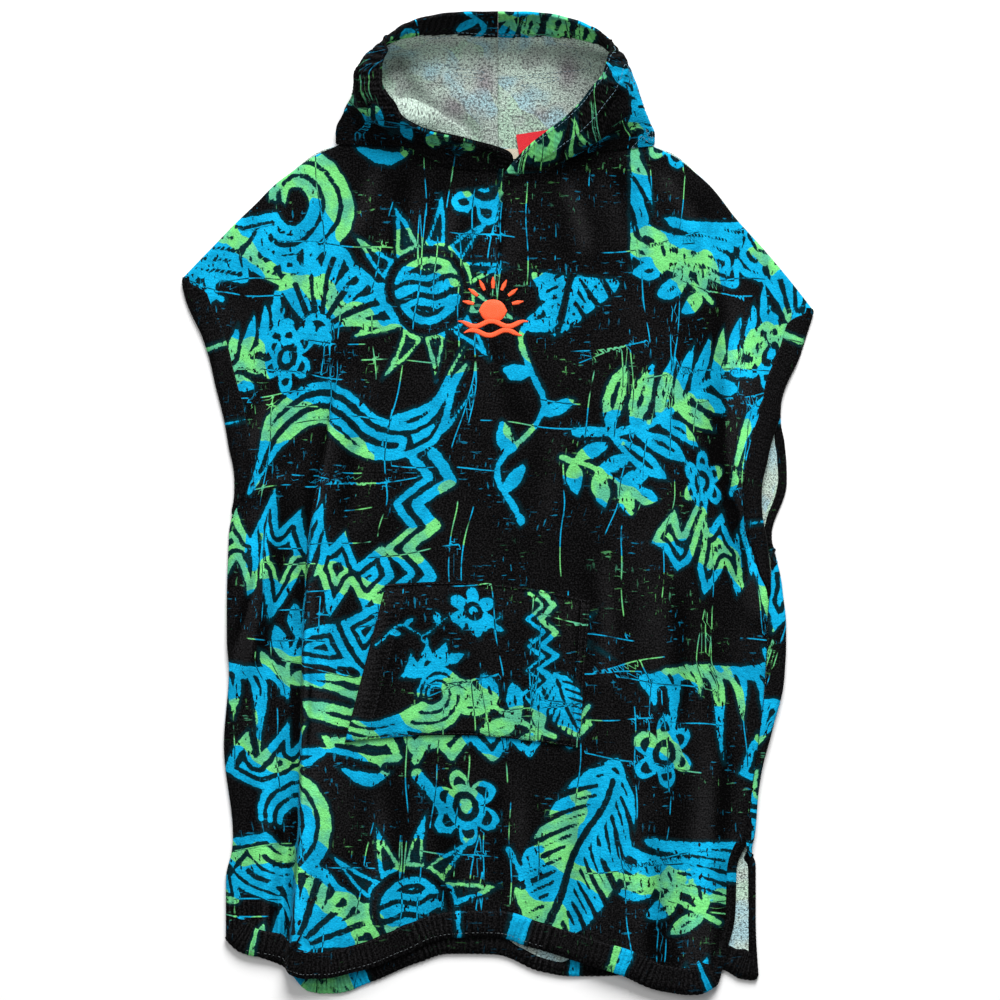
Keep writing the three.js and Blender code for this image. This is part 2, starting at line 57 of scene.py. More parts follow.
# Outline of the laid garment, as in the solids: y, x down the sides, and x, y along the top and the hems
LEFT_EDGE = [
    (226, -315), (209, -312), (164, -293), (119, -281), (59, -268), (14, -262), (-31, -269),
    (-136, -271), (-166, -269), (-241, -274), (-331, -265), (-346, -266), (-376, -272), (-434, -272),
]
FRONT_RIGHT_EDGE = [
    (194, 315), (149, 300), (91, 282), (44, 268), (1, 262), (-42, 268), (-96, 271), (-156, 268),
    (-246, 260), (-336, 247), (-366, 237), (-402, 236), (-447, 227), (-480, 219),
]
# y, x and the width that is rolled over onto the front
BACK_RIGHT_EDGE = [
    (193, 315, 0), (149, 301, 0), (84, 281, 0), (59, 285, 0), (20, 287, 0), (-31, 272, 0), (-61, 279, 6),
    (-96, 285, 14), (-136, 288, 19), (-166, 287, 19), (-226, 275, 13), (-286, 261, 7), (-331, 257, 7),
    (-346, 254, 4), (-361, 256, 0), (-406, 256, 0), (-475, 259, 0),
]
LEFT_SHOULDER = [(-315, 226), (-288, 254), (-243, 299), (-210, 329), (-161, 358)]
FRONT_NECK = [
    (-150, 362), (-123, 366), (-98, 363), (-79, 354), (-54, 342), (6, 338), (45, 341), (80, 355),
    (108, 364), (144, 362),
]
BACK_NECK = [(-150, 360), (-98, 354), (0, 352.4), (98, 354), (144, 360)]
RIGHT_SHOULDER = [(156, 357), (200, 329), (239, 284), (279, 239), (315, 194)]
FRONT_HEM = [
    (-272, -434), (-253, -448), (-216, -456), (-208, -468), (-186, -472), (-144, -466), (-95, -449),
    (-42, -432), (-10, -431), (28, -440), (84, -457), (122, -468.5), (172, -486.5), (196, -488.4),
    (219, -480),
]
BACK_HEM = [
    (-271, -432), (-242, -450), (-212, -462), (-189, -485.5), (-172, -487.5), (-130, -477), (-78, -456),
    (-42, -448), (-5, -448.5), (42, -465.5), (84, -470.3), (162, -467), (224, -464), (242, -473),
    (259, -475),
]

# Long folds of the front: reach left and right of the crest, then y, x and rise down the crest
FOLDS = [
    # Left of the middle
    (3, 85, [(150, -153, 0), (54, -170, 3), (-68, -188, 6), (-200, -193, 8), (-286, -195, 10),
             (-461, -207, 13)]),
    # Under the left armhole
    (24, 7, [(10, -226, 0), (-60, -236, 4), (-130, -247, 4.5), (-185, -262, 0)]),
    # The rolled armhole
    (14, 44, [(290, 208, 0), (180, 226, 4), (54, 240, 9), (-56, 256, 6), (-120, 262, 0)]),
    # The swell on the right
    (60, 48, [(240, 130, 0), (60, 146, 4), (-196, 142, 5), (-490, 118, 6)]),
    # The flute of the hem
    (24, 18, [(-180, 200, 0), (-330, 203, 5), (-490, 196, 9)]),
    # The chest
    (70, 90, [(320, -60, 0), (180, -70, 3.5), (-40, -60, 3), (-300, -50, 0)]),
]

# Finer creases of the front: start, end, rise (negative for a trough) and half width
CREASES = [
    ((-120, 352), (-150, 250), 1.6, 9),
    ((-95, 350), (-112, 215), -1.4, 11),
    ((-40, 330), (-62, 232), 1.3, 8),
    ((2, 330), (3, 232), -1.0, 3),
    ((60, 336), (92, 236), 1.5, 9),
    ((105, 352), (150, 262), -1.5, 12),
    ((150, 340), (205, 262), 1.4, 10),
    ((-210, 310), (-262, 232), 1.2, 9),
    ((212, 250), (222, 40), -2.2, 9),
    ((222, 40), (247, -90), -2.4, 8),
    ((-258, 20), (-222, 120), 1.5, 8),
    ((-262, 6), (-200, 30), 1.2, 7),
    ((262, -6), (206, 22), 1.3, 7),
    ((-262, -20), (-214, -52), -1.3, 7),
    ((-150, 120), (-158, -40), -1.3, 10),
    ((-118, -30), (-142, -150), 1.2, 9),
    ((100, -40), (108, -200), 1.3, 10),
    ((170, -60), (182, -240), -1.7, 12),
    ((-120, -270), (-130, -440), 1.5, 11),
    ((-60, -260), (-52, -425), -1.8, 16),
    ((10, -262), (22, -430), 1.4, 13),
    ((70, -280), (74, -450), -1.5, 12),
    ((148, -300), (156, -480), -2.0, 10),
    ((228, -210), (214, -380), -1.4, 8),
    ((-236, -200), (-240, -400), 1.3, 9),
    ((-222, -300), (-226, -440), -1.5, 6),
    ((-196, -60), (-214, -470), -3.0, 4.5),
    ((-232, -330), (-238, -455), 1.2, 4),
    ((-218, -350), (-221, -460), 1.0, 3),
    ((-228, -4), (-270, -190), 2.6, 5),
    ((-236, -16), (-277, -180), -2.6, 4),
    ((-20, 190), (30, 60), -0.9, 14),
    ((60, 120), (40, -60), 0.9, 15),
]

# y and z along the hood's centre seam, which both halves share, from the neck to the band
HOOD_SEAM = [
    (352.8, 1.5), (366, 1.5), (382, 1.5), (398, 1.5), (414, 1.5), (430, 1.5),
    (447, 5), (465, 27), (481, 43), (489, 55),
]
# Hood walls, as the middle of the cloth, from the opening's edge towards the centre seam
HOOD_LEFT = [
    [(16, 336, 10), (-40, 337, 9.5), (-98, 358, 8.6), (-160, 360, 5),
     (-141, 362, 1.5), (-60, 353.2, 1.5)],
    [(15, 346, 19), (-40, 351, 17), (-98, 366, 12), (-160, 370, 9),
     (-139, 370, 1.5), (-50, 364, 1.5)],
    [(-30, 363, 32), (-78, 364, 25), (-115, 377, 20), (-156, 384, 13),
     (-92, 377, 12), (-52, 384, 1.6)],
    [(-80, 376, 43), (-116, 381, 35), (-136, 391, 28), (-151, 397, 18),
     (-98, 394, 17), (-66, 400, 2)],
    [(-102, 399, 51), (-132, 396, 44), (-141, 401, 35), (-145, 408, 22),
     (-108, 409, 9), (-76, 414, 1.6)],
    [(-115, 425, 57), (-138, 419, 51), (-142, 421, 41), (-140, 425, 27),
     (-112, 426, 3.5), (-70, 429, 1.5)],
    [(-113, 442, 59), (-133, 437, 54), (-136, 437, 45), (-133, 439, 32),
     (-98, 442, 8), (-58, 445, 5)],
    [(-109, 451, 59), (-123, 451, 53), (-118, 452, 46), (-106, 454, 38),
     (-74, 460, 29), (-40, 464, 27)],
    [(-115, 458, 58), (-106, 464, 54), (-95, 469, 51), (-78, 474, 47),
     (-50, 479, 44), (-25, 481, 43)],
    [(-111, 464, 57), (-100, 472, 56), (-86, 479, 56), (-64, 485, 55),
     (-42, 488, 55), (-20, 489, 55)],
]
HOOD_RIGHT = [
    [(6, 330, 16), (32, 331, 13.5), (76, 349, 9.5), (154, 359, 5),
     (135, 362, 1.5), (60, 353.2, 1.5)],
    [(25, 352, 26), (54, 341, 20), (96, 358, 14), (154, 368, 9),
     (134, 369, 1.5), (60, 365, 1.5)],
    [(48, 371, 37), (80, 355, 30), (110, 370, 22), (151, 379, 14),
     (116, 379, 1.5), (62, 380, 1.5)],
    [(72, 390, 46), (101, 373, 38), (124, 383, 29), (146, 392, 19),
     (116, 392, 1.5), (64, 397, 1.5)],
    [(91, 412, 53), (113, 400, 46), (129, 402, 36), (141, 407, 23),
     (112, 407, 1.5), (66, 412, 1.5)],
    [(105, 431, 58), (120, 421, 53), (130, 421, 43), (134, 425, 28),
     (104, 426, 2), (64, 429, 1.5)],
    [(108, 442, 60), (122, 439, 56), (126, 438, 47), (124, 440, 33),
     (92, 442, 8), (52, 445, 5)],
    [(111, 450, 59), (118, 450, 54), (112, 451, 46), (100, 452, 38),
     (68, 459, 29), (36, 463, 27)],
    [(114, 456, 58), (106, 462, 54), (96, 467, 51), (78, 473, 47),
     (50, 479, 44), (25, 481, 43)],
    [(112, 460, 57), (102, 468, 56), (89, 475, 56), (66, 483, 55),
     (42, 487.5, 55), (20, 489, 55)],
]

POCKET_CORNERS = [(-112, -80), (92, -96), (81, -244), (-153, -238)]
POCKET_BOW = (9, 10)


# Curves and surfaces

def ease(t):
    t = np.clip(t, 0.0, 1.0)
    return t * t * (3 - 2 * t)


def mix(a, b, t):
    return a + (b - a) * t


def hill(distance, reach):
    """1 at no distance, falling smoothly to nothing some reaches away."""
    return np.exp(-((distance / reach) ** 2))


def rounded_edge(distance, radius):
    """Share of the thickness that is left near a rounded edge."""
    return np.sqrt(np.clip(1 - (1 - np.clip(distance / radius, 0, 1)) ** 2, 0, 1))


def stacked(*parts):
    """Grids of single values as one grid of points or quads."""
    return np.stack(parts, axis=-1)


def unit(vectors):
    return vectors / np.maximum(np.linalg.norm(vectors, axis=-1, keepdims=True), 1e-9)


def lengths(points, axis=0):
    """Length down each column of points (axis 0) or along each row (axis 1), from its start."""
    step = np.linalg.norm(np.diff(points, axis=axis), axis=-1)
    start = [(0, 0)] * step.ndim
    start[axis] = (1, 0)
    return np.cumsum(np.pad(step, start), axis=axis)


def beside_line(x, y, start, end):
    """A line's length, the share along it of each point and how far the point is off its right side."""
    dx, dy = end[0] - start[0], end[1] - start[1]
    length = math.hypot(dx, dy)
    right, up = x - start[0], y - start[1]
    return length, (right * dx + up * dy) / length**2, (right * dy - up * dx) / length


def curve_through(stations, values):
    """A smooth curve through values at rising stations that never overshoots them."""
    s = np.asarray(stations, float)
    v = np.asarray(values, float)
    extra = (1,) * (v.ndim - 1)
    rate = np.diff(v, axis=0) / np.diff(s).reshape(-1, *extra)
    slope = np.zeros_like(v)
    slope[0], slope[-1] = rate[0], rate[-1]
    before, after = rate[:-1], rate[1:]
    same = before * after > 0
    slope[1:-1] = np.where(same, 2 * before * after / np.where(same, before + after, 1), 0)

    def at(x):
        x = np.clip(np.asarray(x, float), s[0], s[-1])
        i = np.clip(np.searchsorted(s, x, side="right") - 1, 0, len(s) - 2)
        span = np.reshape(s[i + 1] - s[i], x.shape + extra)
        t = np.reshape(x - s[i], x.shape + extra) / span
        start = v[i] + t * span * slope[i]
        end = v[i + 1] - (1 - t) * span * slope[i + 1]
        return start + (end - start) * t * t * (3 - 2 * t)

    return at


def table_curve(rows, column=1):
    """One column of a table as a curve over its first column, whichever way the rows run."""
    ordered = sorted(rows)
    return curve_through([row[0] for row in ordered], [row[column] for row in ordered])


left_edge = table_curve(LEFT_EDGE)
open_right_edge = table_curve(FRONT_RIGHT_EDGE)
back_right_edge = table_curve(BACK_RIGHT_EDGE)
back_over = table_curve(BACK_RIGHT_EDGE, 2)
front_top_edge = table_curve(LEFT_SHOULDER + FRONT_NECK + RIGHT_SHOULDER)
back_top_edge = table_curve(LEFT_SHOULDER + BACK_NECK + RIGHT_SHOULDER)
front_hem = table_curve(FRONT_HEM)
back_hem = table_curve(BACK_HEM)
fold_curves = [(low, high, table_curve(run), table_curve(run, 2)) for low, high, run in FOLDS]


def front_right_edge(y):
    return np.minimum(open_right_edge(y), back_right_edge(y) - back_over(y) - SIDE_GAP)


def panel_plan(left, left_rows, right, right_rows, top, hem):
    """A panel's plan, blended from its four edges: u runs from left to right, v from the top to the hem."""
    (ty, tx), (hy, hx) = left_rows[0], left_rows[-1]
    (ry, rx), (sy, sx) = right_rows[0][:2], right_rows[-1][:2]

    def at(u, v):
        top_x, hem_x = mix(tx, rx, u), mix(hx, sx, u)
        left_y, right_y = mix(ty, hy, v), mix(ry, sy, v)
        across = mix(left(left_y), right(right_y), u)
        down = mix(top(top_x), hem(hem_x), v)
        straight_x = mix(mix(tx, hx, v), mix(rx, sx, v), u)
        straight_y = mix(mix(ty, ry, u), mix(hy, sy, u), v)
        return across + mix(top_x, hem_x, v) - straight_x, down + mix(left_y, right_y, u) - straight_y

    return at


front_plan = panel_plan(left_edge, LEFT_EDGE, front_right_edge, FRONT_RIGHT_EDGE, front_top_edge, front_hem)
back_plan = panel_plan(left_edge, LEFT_EDGE, back_right_edge, BACK_RIGHT_EDGE, back_top_edge, back_hem)


def unevenness(x, y):
    """Slow swells that no cloth is without, about a third of a millimetre high."""
    a = np.sin(x / 31 + 1.3 * np.sin(y / 47 + 0.6)) * np.sin(y / 58 + 0.9 * np.sin(x / 39))
    b = np.sin(x / 17 + y / 71 + 2.1) * np.sin(y / 83 + x / 140)
    return 0.28 * a + 0.16 * b


def crease_height(x, y):
    total = np.zeros_like(x)
    for start, end, rise, width in CREASES:
        length, along, away = beside_line(x, y, start, end)
        bend = 0.035 * length * np.sin(math.pi * np.clip(along, 0, 1) + 0.4)
        total += rise * ease(along / 0.35) * ease((1 - along) / 0.3) * hill(away + bend, width)
    return total


def front_height(x, y):
    """Height of the front panel's outer face above the surface it lies on."""
    beside_roll = ease(1 - (front_right_edge(y) - x) / 70) * ease((-40 - y) / 50) * ease((y + 372) / 40)
    z = FRONT_TOP + 2 * (ROLL_RADIUS - WALL / 2) * beside_roll
    for low, high, place, rise in fold_curves:
        away = x - place(y)
        z = z + rise(y) * hill(away, np.where(away < 0, low, high))
    inside = ease((x - left_edge(y)) / 30) * ease((front_right_edge(y) - x) / 30)
    return z + (crease_height(x, y) + unevenness(x, y) + 0.6) * inside


def grid_normals(points):
    return unit(np.cross(np.gradient(points, axis=1), np.gradient(points, axis=0)))


def smoothed(field, rows, columns):
    """A running average over some rows and columns each way."""
    for axis, reach in ((0, rows), (1, columns)):
        if reach:
            pad = [(0, 0)] * field.ndim
            pad[axis] = (reach + 1, reach)
            total = np.cumsum(np.pad(field, pad, mode="edge"), axis=axis)
            count = field.shape[axis]
            upper = np.take(total, np.arange(count) + 2 * reach + 1, axis=axis)
            field = (upper - np.take(total, np.arange(count), axis=axis)) / (2 * reach + 1)
    return field


def relief_of(points, normals, reach=9, full=1.0):
    """How far each point stands out of its surroundings, from -1 in a trough to 1 on a crest. The materials
    turn it into painted shade in troughs and painted light on crests.
    """
    out = ((points - smoothed(points, reach, reach)) * normals).sum(axis=-1)
    return np.clip(out / full, -1, 1)


INSET_LINES = 90
INSET_NEAR = 8.0


def sampled(field, a, b):
    """A grid's values at shares a across and b down."""
    rows, columns = field.shape[:2]
    x = np.clip(a, 0, 1) * (columns - 1)
    y = np.clip(b, 0, 1) * (rows - 1)
    j = np.minimum(x.astype(int), columns - 2)
    i = np.minimum(y.astype(int), rows - 2)
    fx, fy = (x - j)[..., None], (y - i)[..., None]
    upper = mix(field[i, j], field[i, j + 1], fx)
    lower = mix(field[i + 1, j], field[i + 1, j + 1], fx)
    return mix(upper, lower, fy)


class Surface:
    """Outer face of a cloth on a grid of rows and columns, its normals and its flat print coordinates."""

    def __init__(self, points, cloth, flip=False):
        self.points = points
        self.cloth = cloth
        self.normals = grid_normals(points) * (-1 if flip else 1)

    def inset(self, edge, along, distance):
        """Shares a and b of the points square in from an edge by a distance, for each share along it."""
        in_rows = edge in ("hem", "top")
        count = self.points.shape[0 if in_rows else 1]
        inward = np.arange(min(count, INSET_LINES)) / (count - 1)
        if edge in ("hem", "right"):
            inward = 1 - inward
        t, s = np.meshgrid(along, inward, indexing="ij")
        line = sampled(self.points, *((t, s) if in_rows else (s, t)))
        length = lengths(line, 1)
        # Where the rows or columns meet the edge at a slant, the point moves back along the edge.
        tangent = smoothed(np.gradient(line[:, 0], along, axis=0), 6, 0)
        rate = np.linalg.norm(tangent, axis=1)
        near = np.array([
            [np.interp(INSET_NEAR, r, p[:, axis]) for axis in range(3)] for r, p in zip(length, line)
        ])
        cosine = np.clip((unit(near - line[:, 0]) * tangent).sum(axis=1) / rate, -0.85, 0.85)
        reached = distance / np.sqrt(1 - cosine**2)
        share = np.array([np.interp(r, length[k], inward) for k, r in enumerate(reached)])
        moved = np.clip(along - reached * cosine / rate, 0, 1)
        return (moved, share) if in_rows else (share, moved)

    def at(self, a, b):
        """Points, normals and flat coordinates at shares across and down."""
        return sampled(self.points, a, b), unit(sampled(self.normals, a, b)), sampled(self.cloth, a, b)

    def at_inset(self, edge, along, distance):
        return self.at(*self.inset(edge, along, distance + 0 * along))

    def row_at(self, y, column=0):
        """The share of the rows at which a column reaches the height y."""
        heights = self.points[:, column, 1]
        return float(np.interp(-y, -heights, np.linspace(0, 1, len(heights))))


# Print: generic leaves, flowers, waves and suns on a black ground, as signed distances in millimetres

TILE = (560.0, 620.0)


def off_segment(x, y, ax, ay, bx, by):
    """The nearest share along a segment and the distance to it."""
    dx, dy = bx - ax, by - ay
    t = np.clip(((x - ax) * dx + (y - ay) * dy) / (dx * dx + dy * dy), 0, 1)
    return t, np.hypot(x - ax - t * dx, y - ay - t * dy)


def capsule(x, y, ax, ay, bx, by, wide_a, wide_b):
    t, away = off_segment(x, y, ax, ay, bx, by)
    return away - mix(wide_a, wide_b, t)


def polar(x, y, parts):
    """Distance from the middle, the angle, and the share across one of some equal parts, from -0.5 to 0.5."""
    angle = np.arctan2(y, x)
    return np.hypot(x, y), angle, (angle / (2 * math.pi) * parts) % 1 - 0.5


def stroke(x, y, points, width):
    """A drawn line with one width, or with a width for each of its points."""
    widths = np.broadcast_to(width, len(points))
    ends = zip(points[:-1], points[1:], widths[:-1], widths[1:])
    return np.minimum.reduce([np.full_like(x, 1e3)] + [capsule(x, y, *a, *b, wa, wb) for a, b, wa, wb in ends])


def curved(points, count=22):
    """Points on a smooth curve through a few given ones."""
    p = np.array(points, float)
    p = np.vstack([2 * p[0] - p[1], p, 2 * p[-1] - p[-2]])
    out = []
    for a, b, c, d in zip(p, p[1:], p[2:], p[3:]):
        for t in np.linspace(0, 1, max(3, count // (len(p) - 3)), endpoint=False):
            square, cube = 2 * a - 5 * b + 4 * c - d, 3 * b - a - 3 * c + d
            out.append(0.5 * (2 * b + (c - a) * t + square * t**2 + cube * t**3))
    return [tuple(q) for q in out + [p[-2]]]


def inside(x, y, corners):
    """Signed distance to a polygon."""
    p = np.array(corners, float)
    sd = np.full_like(x, 1e6)
    within = np.zeros(x.shape, bool)
    for (ax, ay), (bx, by) in zip(p, np.roll(p, -1, axis=0)):
        sd = np.minimum(sd, off_segment(x, y, ax, ay, bx, by)[1])
        if ay != by:
            within ^= ((ay > y) != (by > y)) & (x < (bx - ax) * (y - ay) / (by - ay) + ax)
    return np.where(within, -sd, sd)


def blade(x, y, length, half):
    """A pointed leaf from the origin along x."""
    radius = (length * length / 4 + half * half) / (2 * half)
    upper = np.hypot(x - length / 2, y - half + radius) - radius
    lower = np.hypot(x - length / 2, y + half - radius) - radius
    return np.maximum(upper, lower)


def turned(x, y, degrees, cx=0.0, cy=0.0):
    c, s = math.cos(math.radians(degrees)), math.sin(math.radians(degrees))
    return (x - cx) * c + (y - cy) * s, -(x - cx) * s + (y - cy) * c


def without(sd, cut):
    """A shape with another one, given by its signed distance, taken out of it."""
    return np.maximum(sd, -cut)


def lined(sd, width, gap):
    """A shape's outline as a drawn line, with its inside filled again beyond a black gap."""
    return np.minimum(np.abs(sd + width / 2) - width / 2, sd + width + gap)


def hibiscus(x, y):
    r, angle, share = polar(x, y, 5)
    petal = np.abs(share)
    edge = 104 * (0.56 + 0.44 * np.sqrt(np.clip(np.cos(math.pi * petal), 0, 1))) + 3.5 * np.cos(angle * 25 + 1)
    side = r * np.sin((0.5 - petal) * 2 * math.pi / 5) - 3.4
    sd = lined(np.maximum((r - edge) * 0.85, -side), 6.0, 6.5)
    for turn in (-0.12, 0.0, 0.12):
        vein = r * np.abs(np.sin((share - turn * (r / 70)) * 2 * math.pi / 5)) - 2.9
        sd = np.maximum(sd, np.maximum(vein, np.abs(r - 42) - 24))
    return np.minimum(without(sd, np.abs(r - 16) - 4.0), r - 10)


def frond(x, y):
    bend = y - 0.0016 * x * x + 12
    sd = capsule(x, bend, -140, 0, 142, 0, 6.0, 3.0)
    for k in range(9):
        for side in (1, -1):
            lx, ly = turned(x, bend, side * (55 - 2.4 * k), -112 + 29 * k, 0)
            sd = np.minimum(sd, blade(lx, ly, 84 - 6.0 * k, 10.8 - 0.4 * k))
    return sd


def monstera(x, y):
    r, angle = np.hypot(x, y), np.arctan2(x, y)
    edge = 118 * (0.86 + 0.16 * np.cos(angle) - 0.20 * np.cos(2 * angle) ** 2)
    sd = without((r - edge) * 0.9, capsule(x, y, 0, -120, 0, 98, 4.2, 2.4))
    for low, out in ((-56, -24), (-18, 14), (18, 50), (52, 80)):
        for side in (1, -1):
            sd = without(sd, capsule(x, y, side * 126, out + 18, side * 34, low, 11.0, 4.0))
            sd = without(sd, capsule(x, y, side * 14, low - 8, side * 24, low - 3, 5.0, 4.2))
    return np.minimum(sd, capsule(x, y, 0, -80, 5, -150, 6.0, 4.4))


def sun(x, y):
    r, _, share = polar(x, y, 11)
    sd = without(r - 38, np.abs(y + 8 + 3 * np.sin(x / 7)) - 3.0)
    sd = without(sd, np.abs(y - 8 + 3 * np.sin(x / 7 + 1)) - 2.6)
    wedge = r * np.sin(np.abs(share) * 2 * math.pi / 11) - 13.0 * np.clip((104 - r) / 54, 0, 1)
    rays = np.maximum(wedge, np.maximum(49 - r, r - 104))
    return np.minimum(sd, lined(rays, 5.0, 5.0))


def breaker(x, y):
    foam = [(-20, 50), (4, 96), (14, 70), (44, 112), (50, 84), (84, 108), (80, 84), (116, 88), (96, 66),
            (60, 58), (20, 40)]
    sd = inside(x, y, foam)
    for k in range(3):
        spiral = []
        for t in np.linspace(-0.25, 1.3, 17):
            reach, angle = (74 - 22 * k) * (1 - 0.42 * t), math.pi * (1.15 * t - 0.5)
            spiral.append((52 + reach * math.cos(angle), 8 + reach * math.sin(angle)))
        tail = curved([(-168 + 26 * k, -40 + 8 * k), (-96 + 16 * k, -66 + 16 * k), (-8, -74 + 23 * k)], 10)
        wide = [1.5, *np.linspace(5, 10, len(tail) - 1), *np.linspace(9.5, 3.0, len(spiral))]
        sd = np.minimum(sd, stroke(x, y, tail + spiral, wide))
    return sd


PEAKS = [
    (-150, 0), (-128, 34), (-112, 10), (-92, 62), (-74, 22), (-58, 44), (-40, 16), (-14, 74), (6, 30), (22, 52),
    (40, 14), (62, 60), (80, 20), (98, 40), (112, 8), (134, 30), (150, -4), (126, -34), (108, -14), (92, -52),
    (70, -12), (52, -30), (34, -8), (10, -62), (-12, -16), (-34, -40), (-52, -10), (-76, -50), (-94, -14),
    (-116, -28), (-132, -8),
]


def peaks(x, y):
    """A jagged band, like mountain tops over their own reflection."""
    sd = inside(x, y, PEAKS)
    for at, lean in ((-96, 16.2), (-22, -10.8), (58, 13.5)):
        sd = without(sd, capsule(x, y, at, -22, at + lean, 34, 5.0, 0.5))
    return sd


def swoosh(x, y):
    """One wide brush stroke with split ends."""
    path = curved([(-130, -30), (-80, 26), (-20, 30), (30, -14), (84, -30), (136, 22)], 30)
    widths = np.interp(np.linspace(0, 1, len(path)), [0, 0.2, 0.5, 0.8, 1], [3, 19, 24, 17, 2])
    sd = without(stroke(x, y, path, widths), stroke(x, y, [(a, b - 3) for a, b in path[2:-9]], 3.0))
    for move in (-20, 14):
        tail = curved([(60, -20 + move), (104, -14 + move), (140, 26 + move * 1.6)], 8)
        sd = np.minimum(sd, stroke(x, y, tail, np.linspace(5, 1, len(tail))))
    return sd


def zigzag(x, y):
    lines = [
        stroke(x, y, [(-126 + 28 * k, shift - 14 + (24 if k % 2 else -9)) for k in range(10)], wide)
        for shift, wide in ((0, 6.4), (26, 4.4))
    ]
    return np.minimum(*lines)


def torn_leaf(x, y):
    notch = np.abs(((x + np.abs(y) * 0.9) / 24) % 1 - 0.5) * 24 - 0.075 * np.abs(y) - 1.0
    sd = without(blade(x + 112, y, 224, 50), np.maximum(notch, 12 - np.abs(y)))
    return without(sd, capsule(x, y, -104, 0, 86, 0, 4.2, 2.4))


def drips(x, y):
    sd = capsule(x, y, -96, 0, 98, 6, 9, 7)
    for k, length in enumerate((34, 76, 26, 98, 50, 84, 30)):
        sd = np.minimum(sd, capsule(x, y, 30 * k - 90, 0, 30 * k - 84, -length, 11.5, 0.4))
    return sd


def scallop(x, y):
    r, angle = np.hypot(x, y + 40), np.arctan2(x, y + 40)
    edge = 112 + 6 * np.abs(np.cos(angle * 6.3))
    sd = np.maximum((r - edge) * 0.9, (np.abs(angle) - 1.05) * np.maximum(r, 12))
    rib = np.abs((angle / 0.36 + 0.5) % 1 - 0.5) * 0.36 * r - 3.4
    sd = without(sd, np.maximum(rib, np.abs(r - 66) - 36))
    return np.minimum(sd, capsule(x, y, -18, -40, 18, -40, 10, 10))


def sprig(x, y):
    sd = capsule(x, y, -56, 0, 42, 0, 4.0, 2.6)
    for at, angle in ((-40, 54), (-40, -54), (-8, 46), (-8, -46), (24, 36), (24, -36), (42, 0)):
        sd = np.minimum(sd, blade(*turned(x, y, angle, at, 0), 48, 10.5))
    return sd


def blossom(x, y):
    r, _, share = polar(x, y, 6)
    petal = 24 * np.clip(np.cos(math.pi * np.abs(share)), 0, 1) ** 0.7
    return without(r - (18 + petal), np.abs(r - 12) - 3.6)


def vines(x, y):
    """Long thin drawn curves with small leaves."""
    path = curved([(-150, -40), (-96, 8), (-30, -22), (36, 30), (96, 4), (150, 44)], 34)
    sd = stroke(x, y, path, 3.3)
    for k in range(3, len(path) - 2, 4):
        (ax, ay), (bx, by) = path[k], path[k + 1]
        angle = math.degrees(math.atan2(by - ay, bx - ax)) + (52 if (k // 4) % 2 else -52)
        sd = np.minimum(sd, blade(*turned(x, y, angle, ax, ay), 36, 8.4))
    return sd


POCKET_MOTIFS = [
    (breaker, 62, 136, 4, 0.50), (sprig, 168, 122, 152, 0.85), (blossom, 128, 226, 0, 0.62),
    (zigzag, 196, 186, 86, 0.45), (torn_leaf, 222, 128, 118, 0.34), (vines, 92, 208, -4, 0.42),
]
MOTIFS = [
    (hibiscus, 100, 486, 12, 1.0), (peaks, 330, 566, -6, 1.0), (monstera, 462, 420, 24, 0.95),
    (breaker, 286, 300, -6, 1.0), (sun, 486, 214, 0, 0.92), (torn_leaf, 96, 268, 66, 1.0),
    (frond, 214, 116, 28, 0.95), (swoosh, 404, 76, 16, 1.0), (drips, 250, 448, 2, 0.9),
    (vines, 40, 130, 78, 0.95), (zigzag, 500, 560, 84, 0.85), (scallop, 372, 196, -22, 0.8),
    (blossom, 190, 372, 0, 0.9), (blossom, 330, 148, 0, 0.85), (sprig, 200, 226, 150, 0.9),
    (blossom, 540, 316, 10, 0.9), (sprig, 118, 30, -20, 0.8), (zigzag, 20, 386, 4, 0.7),
    (sprig, 352, 470, 60, 0.75), (blossom, 244, 20, 0, 0.8),
]


def wrapped(value, centre, span):
    return (value - centre + span / 2) % span - span / 2


def print_fields(cloth, motifs):
    """Signed distance to the printed shapes, and signed and plain distance to the nearest scratched line."""
    px, py = cloth[..., 0], cloth[..., 1]
    wx = px + 3.0 * np.sin(py / 19 + 1.7) + 1.5 * np.sin(px / 13 + py / 27)
    wy = py + 3.0 * np.sin(px / 21 + 0.4) + 1.5 * np.sin(py / 14 - px / 31)
    ink = np.full(px.shape, 60.0)
    for shape, cx, cy, degrees, scale in motifs:
        lx, ly = wrapped(wx, cx, TILE[0]), wrapped(wy, cy, TILE[1])
        near = np.hypot(lx, ly) < 190 * scale
        tx, ty = turned(lx[near], ly[near], degrees)
        ink[near] = np.minimum(ink[near], shape(tx / scale, ty / scale) * scale)
    signed = np.full(px.shape, 60.0)
    plain = np.full(px.shape, 60.0)
    draw = np.random.default_rng(SEED)
    for k in range(120):
        cx, cy = draw.uniform(0, TILE[0]), draw.uniform(0, TILE[1])
        half = draw.uniform(12, 62)
        tilt = draw.normal(0, 5) + (90 if k % 5 < 3 else 0)
        lx, ly = wrapped(px, cx, TILE[0]), wrapped(py, cy, TILE[1])
        near = np.hypot(lx, ly) < half + 12
        tx, ty = turned(lx[near], ly[near], tilt)
        ty = ty + 1.1 * np.sin(tx / 13 + k)
        far = np.hypot(np.maximum(np.abs(tx) - half, 0), ty)
        closer = far < plain[near]
        index = np.flatnonzero(near.ravel())[closer]
        plain.ravel()[index] = far[closer]
        signed.ravel()[index] = ty[closer]
    return ink, signed, plain


# Meshes

